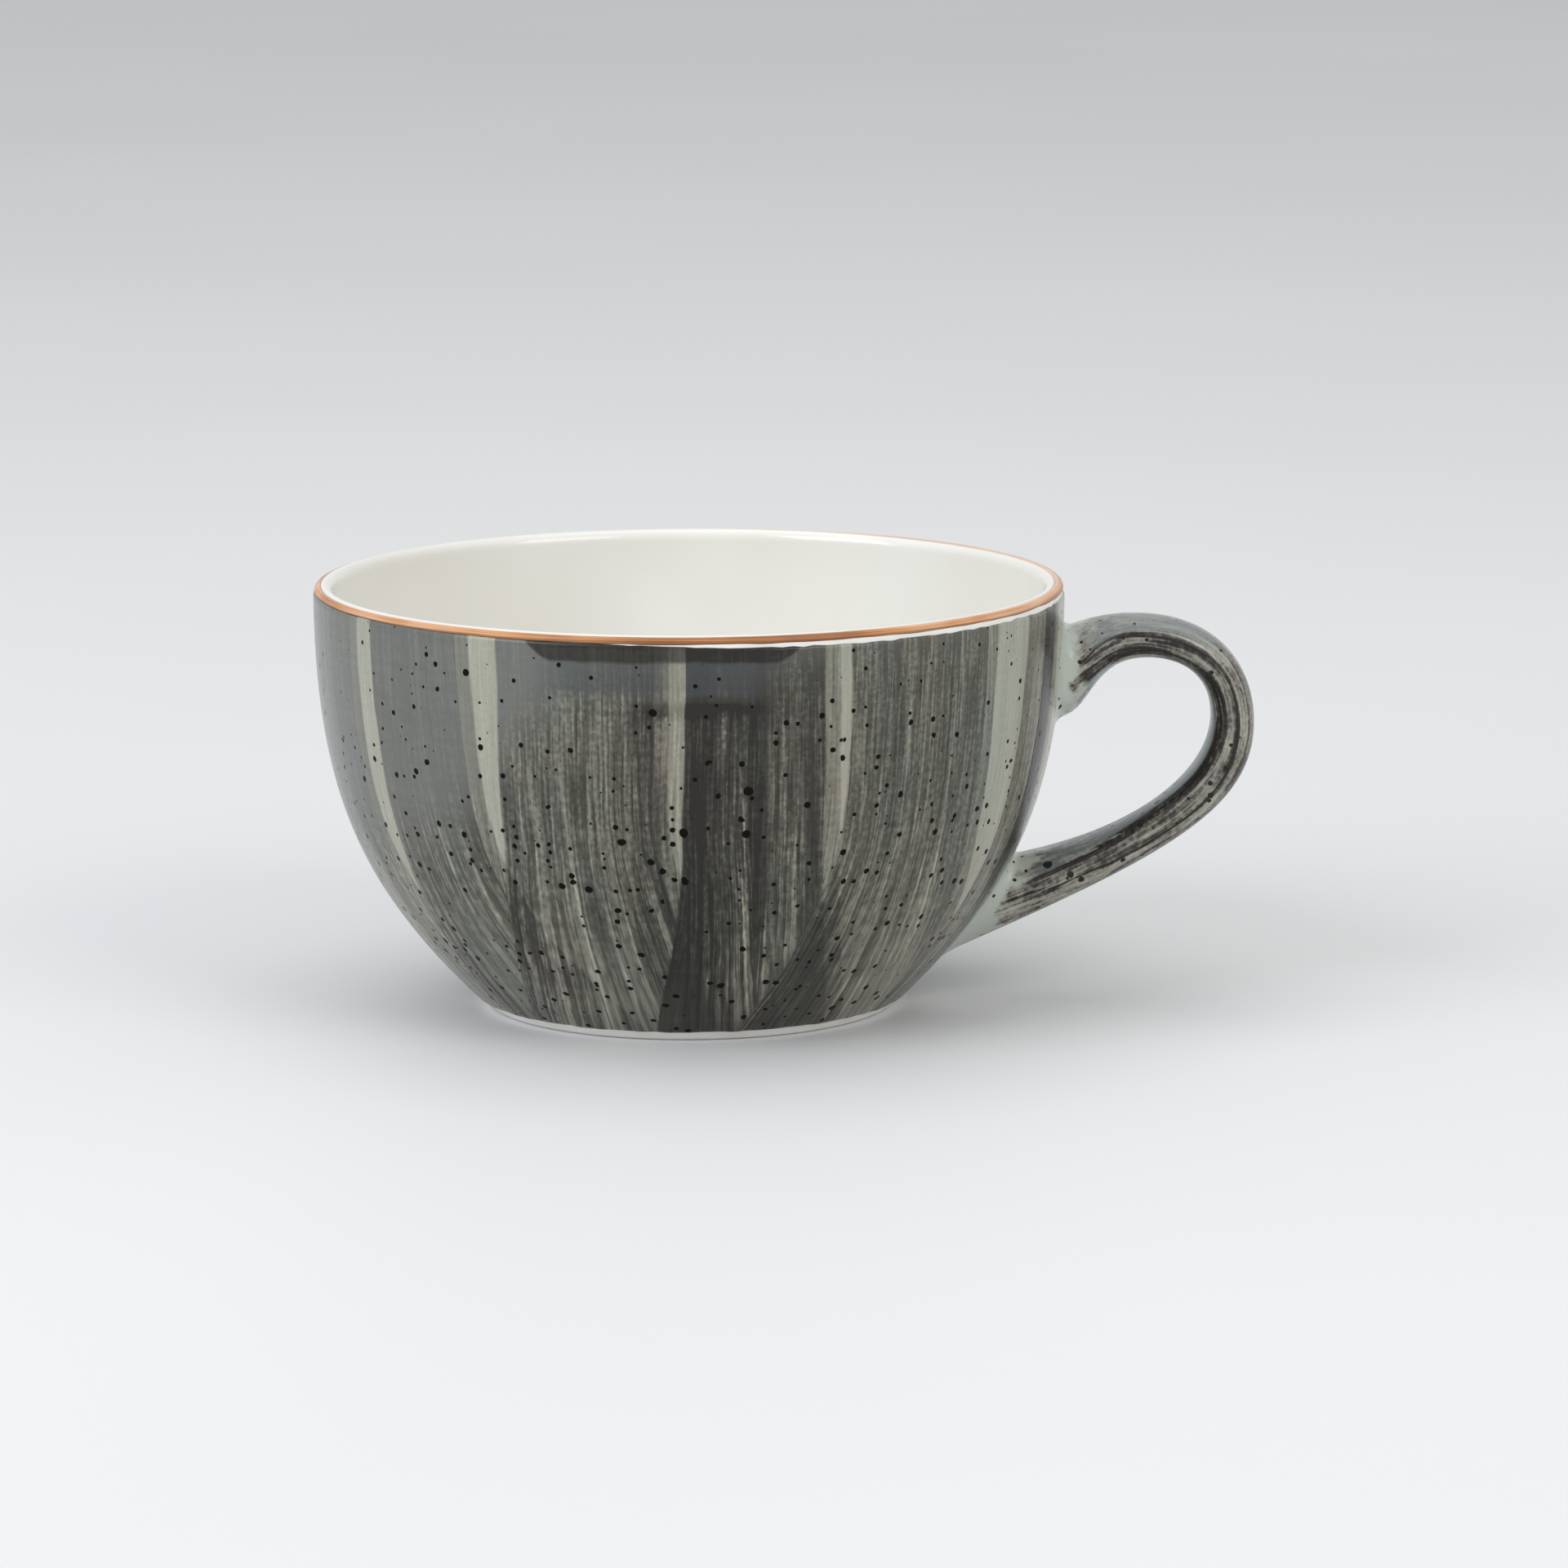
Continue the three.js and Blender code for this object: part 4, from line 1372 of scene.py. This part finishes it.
def ribbons(tree, through, wander):
    """Thickness in coats by the place through the strap, with edges that wander."""
    shifts = (-RIBBON_WANDER / 2, RIBBON_WANDER / 2)
    shift = add_node(tree, MAP_RANGE, spread(wander, RIBBON_NOISE, shifts))
    moved = add_node(tree, MATH, {0: through, 1: shift}, operation="ADD")
    half = strap["thickness"] / 2
    share = add_node(tree, MAP_RANGE, {"Value": moved, "From Min": -half, "From Max": half})
    ramp = add_node(tree, "ShaderNodeFloatCurve", {"Value": share})
    line = ramp.mapping.curves[0].points
    while len(line) < len(ribbon_coats):
        line.new(0.5, 0.5)
    for corner, (at, coats) in zip(line, ribbon_coats):
        corner.location = ((at + half) / (2 * half), coats / COATS_SHOWN)
        corner.handle_type = "VECTOR"
    ramp.mapping.update()
    return add_node(tree, MATH, {0: ramp, 1: COATS_SHOWN}, operation="MULTIPLY")


print(f"ribbons wander by {RIBBON_WANDER} mm over {RIBBON_LENGTH} mm of the strap")

# %% [markdown]
# Strands, smudges and beads break the ribbons up. Over both joints the glaze ran thin and broke pale
# and greenish, up to a ragged line some millimetres from the wall. The inner face of the loop is a cool
# blue grey. The top of the arch gets a painted reflection of the overhead light, a blue grey sheen in
# its colour, like the painted reflection on the left of the bowl.

# %% Grey glaze along the handle
MARK_NOISE = (0.35, 0.65)
STRAND_SIZES = (0.35, 9.0)
STRAND_GAIN = (0.5, 1.4)
SMUDGE_SIZES = (1.2, 7.0)
SMUDGE_GAIN = (0.5, 1.5)
BEAD_GAIN = (0.65, 1.35)
PALE_REACH = (1.5, 5.0)
PALE_RAGS = 2.2
PALE_RAGGED = 7.0
INNER_FACE = (-2.4, -2.75)
INNER_SHARE = 0.88
INNER_BLUE = "#98A2A4"
LOWER_ARM_HEIGHTS = (18.0, 32.0)
LOWER_ARM_SHARE = 0.35
OUTER_FACE = (0.9, 1.6)
# Painted reflection of the overhead light on the top of the arch:
ARCH_SHEEN_HEIGHTS = (46.0, 50.5)
ARCH_SHEEN_SHARE = 0.7
PAINTED_ARCH_SHEEN_BLUE = "#7B8383"


def away_from_joints(tree, places):
    """Share of the brushed glaze, which goes down to nothing near the wall."""
    distance = add_node(tree, "ShaderNodeAttribute", attribute_name="wall_distance")
    ragged = add_node(tree, NOISE, {"Vector": places["point"], "Scale": 1 / PALE_RAGS, "Detail": 3.0})
    uneven = add_node(tree, MATH, {
        0: ragged, 1: -PALE_RAGGED, 2: distance.outputs["Fac"],
    }, operation="MULTIPLY_ADD")
    return add_node(tree, MAP_RANGE, {
        "Value": uneven,
        "From Min": PALE_REACH[0] - PALE_RAGGED / 2,
        "From Max": PALE_REACH[1] - PALE_RAGGED / 2,
    }, interpolation_type="SMOOTHSTEP")


def inner_face_and_arch_sheen(tree, places, through):
    """Shares of blue grey on the inner face of the loop, and of the painted sheen on the top of the arch."""
    height = places["height"]
    inner_face = add_node(
        tree, MAP_RANGE, spread(through, INNER_FACE, (0.0, INNER_SHARE)), interpolation_type="SMOOTHSTEP",
    )
    outer_face = add_node(tree, MAP_RANGE, spread(through, OUTER_FACE), interpolation_type="SMOOTHSTEP")
    above_arm = add_node(tree, MAP_RANGE, spread(height, LOWER_ARM_HEIGHTS, (LOWER_ARM_SHARE, 1.0)))
    arch_sheen = add_node(
        tree, MAP_RANGE, spread(height, ARCH_SHEEN_HEIGHTS, (0.0, ARCH_SHEEN_SHARE)), interpolation_type="SMOOTHSTEP",
    )
    pairs = ((inner_face, above_arm), (outer_face, arch_sheen))
    return [add_node(tree, MATH, {0: face, 1: share}, operation="MULTIPLY") for face, share in pairs]


def handle_grey_glaze():
    material, tree, shader = new_material(
        "grey_glaze_brushed_along_strap", IOR=GLAZE_IOR, Specular_IOR_Level=0.35,
    )
    places = bowl_places(tree)
    place = add_node(tree, "ShaderNodeAttribute", attribute_name="strap_place")
    through = add_node(tree, "ShaderNodeSeparateXYZ", {"Vector": place.outputs["Vector"]}).outputs["Y"]
    strand = strap_noise(tree, place, *STRAND_SIZES)
    smudge = strap_noise(tree, place, *SMUDGE_SIZES)
    beads = add_node(tree, NOISE, {"Vector": places["point"], "Scale": 1 / BEAD_SIZE, "Detail": 3.0})
    brushed = away_from_joints(tree, places)
    laid = ribbons(tree, through, strap_noise(tree, place, RIBBON_WIDTH, RIBBON_LENGTH))
    for noise, gain in ((strand, STRAND_GAIN), (beads, BEAD_GAIN), (smudge, SMUDGE_GAIN)):
        share = add_node(tree, MAP_RANGE, spread(noise, MARK_NOISE, gain))
        laid = add_node(tree, MATH, {0: laid, 1: share}, operation="MULTIPLY")
    laid = add_node(tree, MATH, {0: laid, 1: brushed}, operation="MULTIPLY")
    grey = glaze_ramp(tree, laid, [
        (0.0, JOINT_PALE), (0.12, "#979488"), (0.33, "#5C5952"), (0.5, "#3C3A35"), (0.8, "#211E1B"),
    ])
    # Blue grey of the inner face, and a painted sheen of the overhead light on the top of the arch.
    inner_loop, painted_arch_sheen = inner_face_and_arch_sheen(tree, places, through)
    cooled = cooled_zones(tree, grey, ((inner_loop, INNER_BLUE), (painted_arch_sheen, PAINTED_ARCH_SHEEN_BLUE)), brushed)
    specks = iron_specks(tree, places)
    colour = add_node(tree, MIX, {"Factor": specks, "A": cooled, "B": linear(SPECK_BLACK)}, data_type="RGBA")
    rough = add_node(tree, MAP_RANGE, {"Value": strand, "To Min": 0.14, "To Max": 0.3})
    bump = add_node(tree, BUMP, {"Height": laid, "Strength": 0.3, "Distance": 0.05 * MM})
    fill(tree, shader, {"Base Color": colour, "Roughness": rough, "Normal": bump})
    return material


handle_glaze = handle_grey_glaze()
print(handle_glaze.name, "has", len(handle_glaze.node_tree.nodes), "nodes")

# %% [markdown]
# The coat is the skin over the rings, open at both joints. The solidify operator makes it a closed
# sleeve of the glaze's thickness.

# %% Glaze sleeve of the handle
sleeve = bridged(glaze_rings, closed=False)
bmesh.ops.solidify(sleeve, geom=sleeve.faces[:], thickness=glaze_thickness * MM)
finished(sleeve, "handle_coat", "handle_glaze", handle_glaze)

# %% [markdown]
# Under the glaze lie the cast porcelain strap and the two pads of slip that hold it to the wall. They
# don't show, but they are there, so each is a solid of its own inside the coat, from the same grid of
# lines with the section made smaller by the coat's thickness. Fired slip is a pale grey green with the
# same fine, dull grain as the porcelain.

# %% Porcelain strap and slip pads
SLIP_PAD = (-0.15, 0.65)
STRAP_SEAT = 0.8
CORE_RINGS = 48


def slip_pad_material():
    material, tree, shader = new_material("slip_fired_to_porcelain", IOR=GLAZE_IOR)
    places = bowl_places(tree)
    grain = add_node(tree, NOISE, {"Vector": places["point"], "Scale": 1 / CLAY_GRAIN, "Detail": 3.0})
    colour = add_node(tree, RAMP, {0: grain})
    set_stops(colour, [(0.3, "#B3BBB5"), (0.7, "#BFC6C0")])
    rough = add_node(tree, MAP_RANGE, {"Value": grain, "To Min": 0.3, "To Max": 0.5})
    fill(tree, shader, {"Base Color": colour, "Roughness": rough})
    return material


def inner_ring(level, upper):
    """A ring inside the coat, at one distance from the wall."""
    levels = np.full(STRAP_SIDES, level)
    return (*ring_at_gap(levels, np.full(STRAP_SIDES, -glaze_thickness), upper), levels)


pale_slip = slip_pad_material()
core_rings = [inner_ring(STRAP_SEAT, True)]
core_rings += strap_rings(np.full(STRAP_SIDES, STRAP_SEAT), -glaze_thickness, CORE_RINGS)
core_rings += [inner_ring(STRAP_SEAT, False)]
finished(bridged(core_rings, closed=True), "cast_strap", "handle", porcelain)
for joint, upper in (("upper_slip_joint", True), ("lower_slip_joint", False)):
    pad_rings = [inner_ring(level, upper) for level in SLIP_PAD]
    finished(bridged(pad_rings, closed=True), joint.replace("joint", "pad"), joint, pale_slip)

# %% [markdown]
# The cup stands on a painted studio floor, large enough to run out to the horizon. It is plain and
# pale, with clouds too faint to notice, so that the soft shadow under the foot is all that it shows.

# %% Floor
FLOOR_REACH = 12.0
FLOOR_CLOUDS = 0.3


def make_floor():
    material, tree, shader = new_material("painted_studio_floor", Roughness=0.6, IOR=GLAZE_IOR)
    coordinates = add_node(tree, "ShaderNodeTexCoord")
    clouds = add_node(tree, NOISE, {"Vector": coordinates.outputs["Object"], "Scale": 1 / FLOOR_CLOUDS})
    pale = add_node(tree, RAMP, {0: clouds})
    set_stops(pale, [(0.3, "#E2E3E4"), (0.7, "#E6E7E8")])
    fill(tree, shader, {"Base Color": pale})
    work = bmesh.new()
    bmesh.ops.create_grid(work, x_segments=2, y_segments=2, size=FLOOR_REACH)
    mesh = bpy.data.meshes.new("floor")
    work.to_mesh(mesh)
    work.free()
    mesh.materials.append(material)
    floor = bpy.data.objects.new("floor", mesh)
    bpy.context.scene.collection.objects.link(floor)


make_floor()
print(f"floor of {2 * FLOOR_REACH:.0f} m")

# %% [markdown]
# The light is a plain soft studio: a pale surround and large softboxes from above, from the left and
# from the right. Glossy ceramic is mostly described by what it reflects, so the surround is bright for
# glossy rays as well as for the camera, and lower for the light on the object.

# %% Surround and softboxes
SURROUND_LIGHT = 0.6
SURROUND_SEEN = 0.9
softboxes = [
    {"name": "overhead_box", "place": (-0.15, 0.1, 1.2), "size": 1.0, "watts": 3.6, "tint": "#FFFDFA"},
    {"name": "left_box", "place": (-1.0, -0.7, 0.75), "size": 0.9, "watts": 9.5, "tint": "#F6FAFF"},
    {"name": "right_box", "place": (0.9, -0.9, 0.8), "size": 0.8, "watts": 6.0, "tint": "#FFFBF6"},
]


def make_surround():
    world = bpy.data.worlds.new("pale_surround")
    bpy.context.scene.world = world
    world.use_nodes = True
    tree = world.node_tree
    background = tree.nodes["Background"]
    rays = add_node(tree, "ShaderNodeLightPath")
    seen = rays.outputs["Is Camera Ray"]
    for kind in ("Is Glossy Ray", "Is Transmission Ray"):
        seen = add_node(tree, MATH, {0: seen, 1: rays.outputs[kind]}, operation="MAXIMUM")
    strength = add_node(tree, MAP_RANGE, {"Value": seen, "To Min": SURROUND_LIGHT, "To Max": SURROUND_SEEN})
    fill(tree, background, {"Color": linear("#F4F6F8"), "Strength": strength})


def make_softbox(box):
    lamp = bpy.data.lights.new(box["name"], "AREA")
    lamp.energy = box["watts"]
    lamp.size = box["size"]
    lamp.color = linear(box["tint"])[:3]
    holder = bpy.data.objects.new(box["name"], lamp)
    bpy.context.scene.collection.objects.link(holder)
    holder.location = box["place"]
    aim = Vector((0, 0, cup_height / 2 * MM)) - holder.location
    holder.rotation_euler = aim.to_track_quat("-Z", "Y").to_euler()


make_surround()
for box in softboxes:
    make_softbox(box)
print(f"{len(softboxes)} softboxes, {sum(box['watts'] for box in softboxes):.1f} W in all")

# %% [markdown]
# The camera stands where the photograph was taken from: a long lens about a metre away, ten degrees
# above the table, with a hair of roll. A long lens keeps the rim's ellipse almost free of perspective.

# %% Camera
AIM = (-0.14, 0, 29.25)
CAMERA_DISTANCE = 979.7
CAMERA_ELEVATION = math.radians(10.04)
CAMERA_ROLL = math.radians(-0.18)
SENSOR_WIDTH = 36.0
LENS = 168.0

camera_data = bpy.data.cameras.new("camera")
camera_data.sensor_fit = "HORIZONTAL"
camera_data.sensor_width = SENSOR_WIDTH
camera_data.lens = LENS
camera_data.clip_start = 0.01
camera = bpy.data.objects.new("camera", camera_data)
bpy.context.scene.collection.objects.link(camera)
backwards = Vector((0, -math.cos(CAMERA_ELEVATION), math.sin(CAMERA_ELEVATION)))
spot = (Vector(AIM) + backwards * CAMERA_DISTANCE) * MM
tilt = Matrix.Rotation(math.pi / 2 - CAMERA_ELEVATION, 4, "X")
camera.matrix_world = Matrix.Translation(spot) @ tilt @ Matrix.Rotation(CAMERA_ROLL, 4, "Z")
bpy.context.scene.camera = camera
bpy.context.scene.view_settings.view_transform = "Standard"
print("camera at", tuple(round(value, 3) for value in spot))
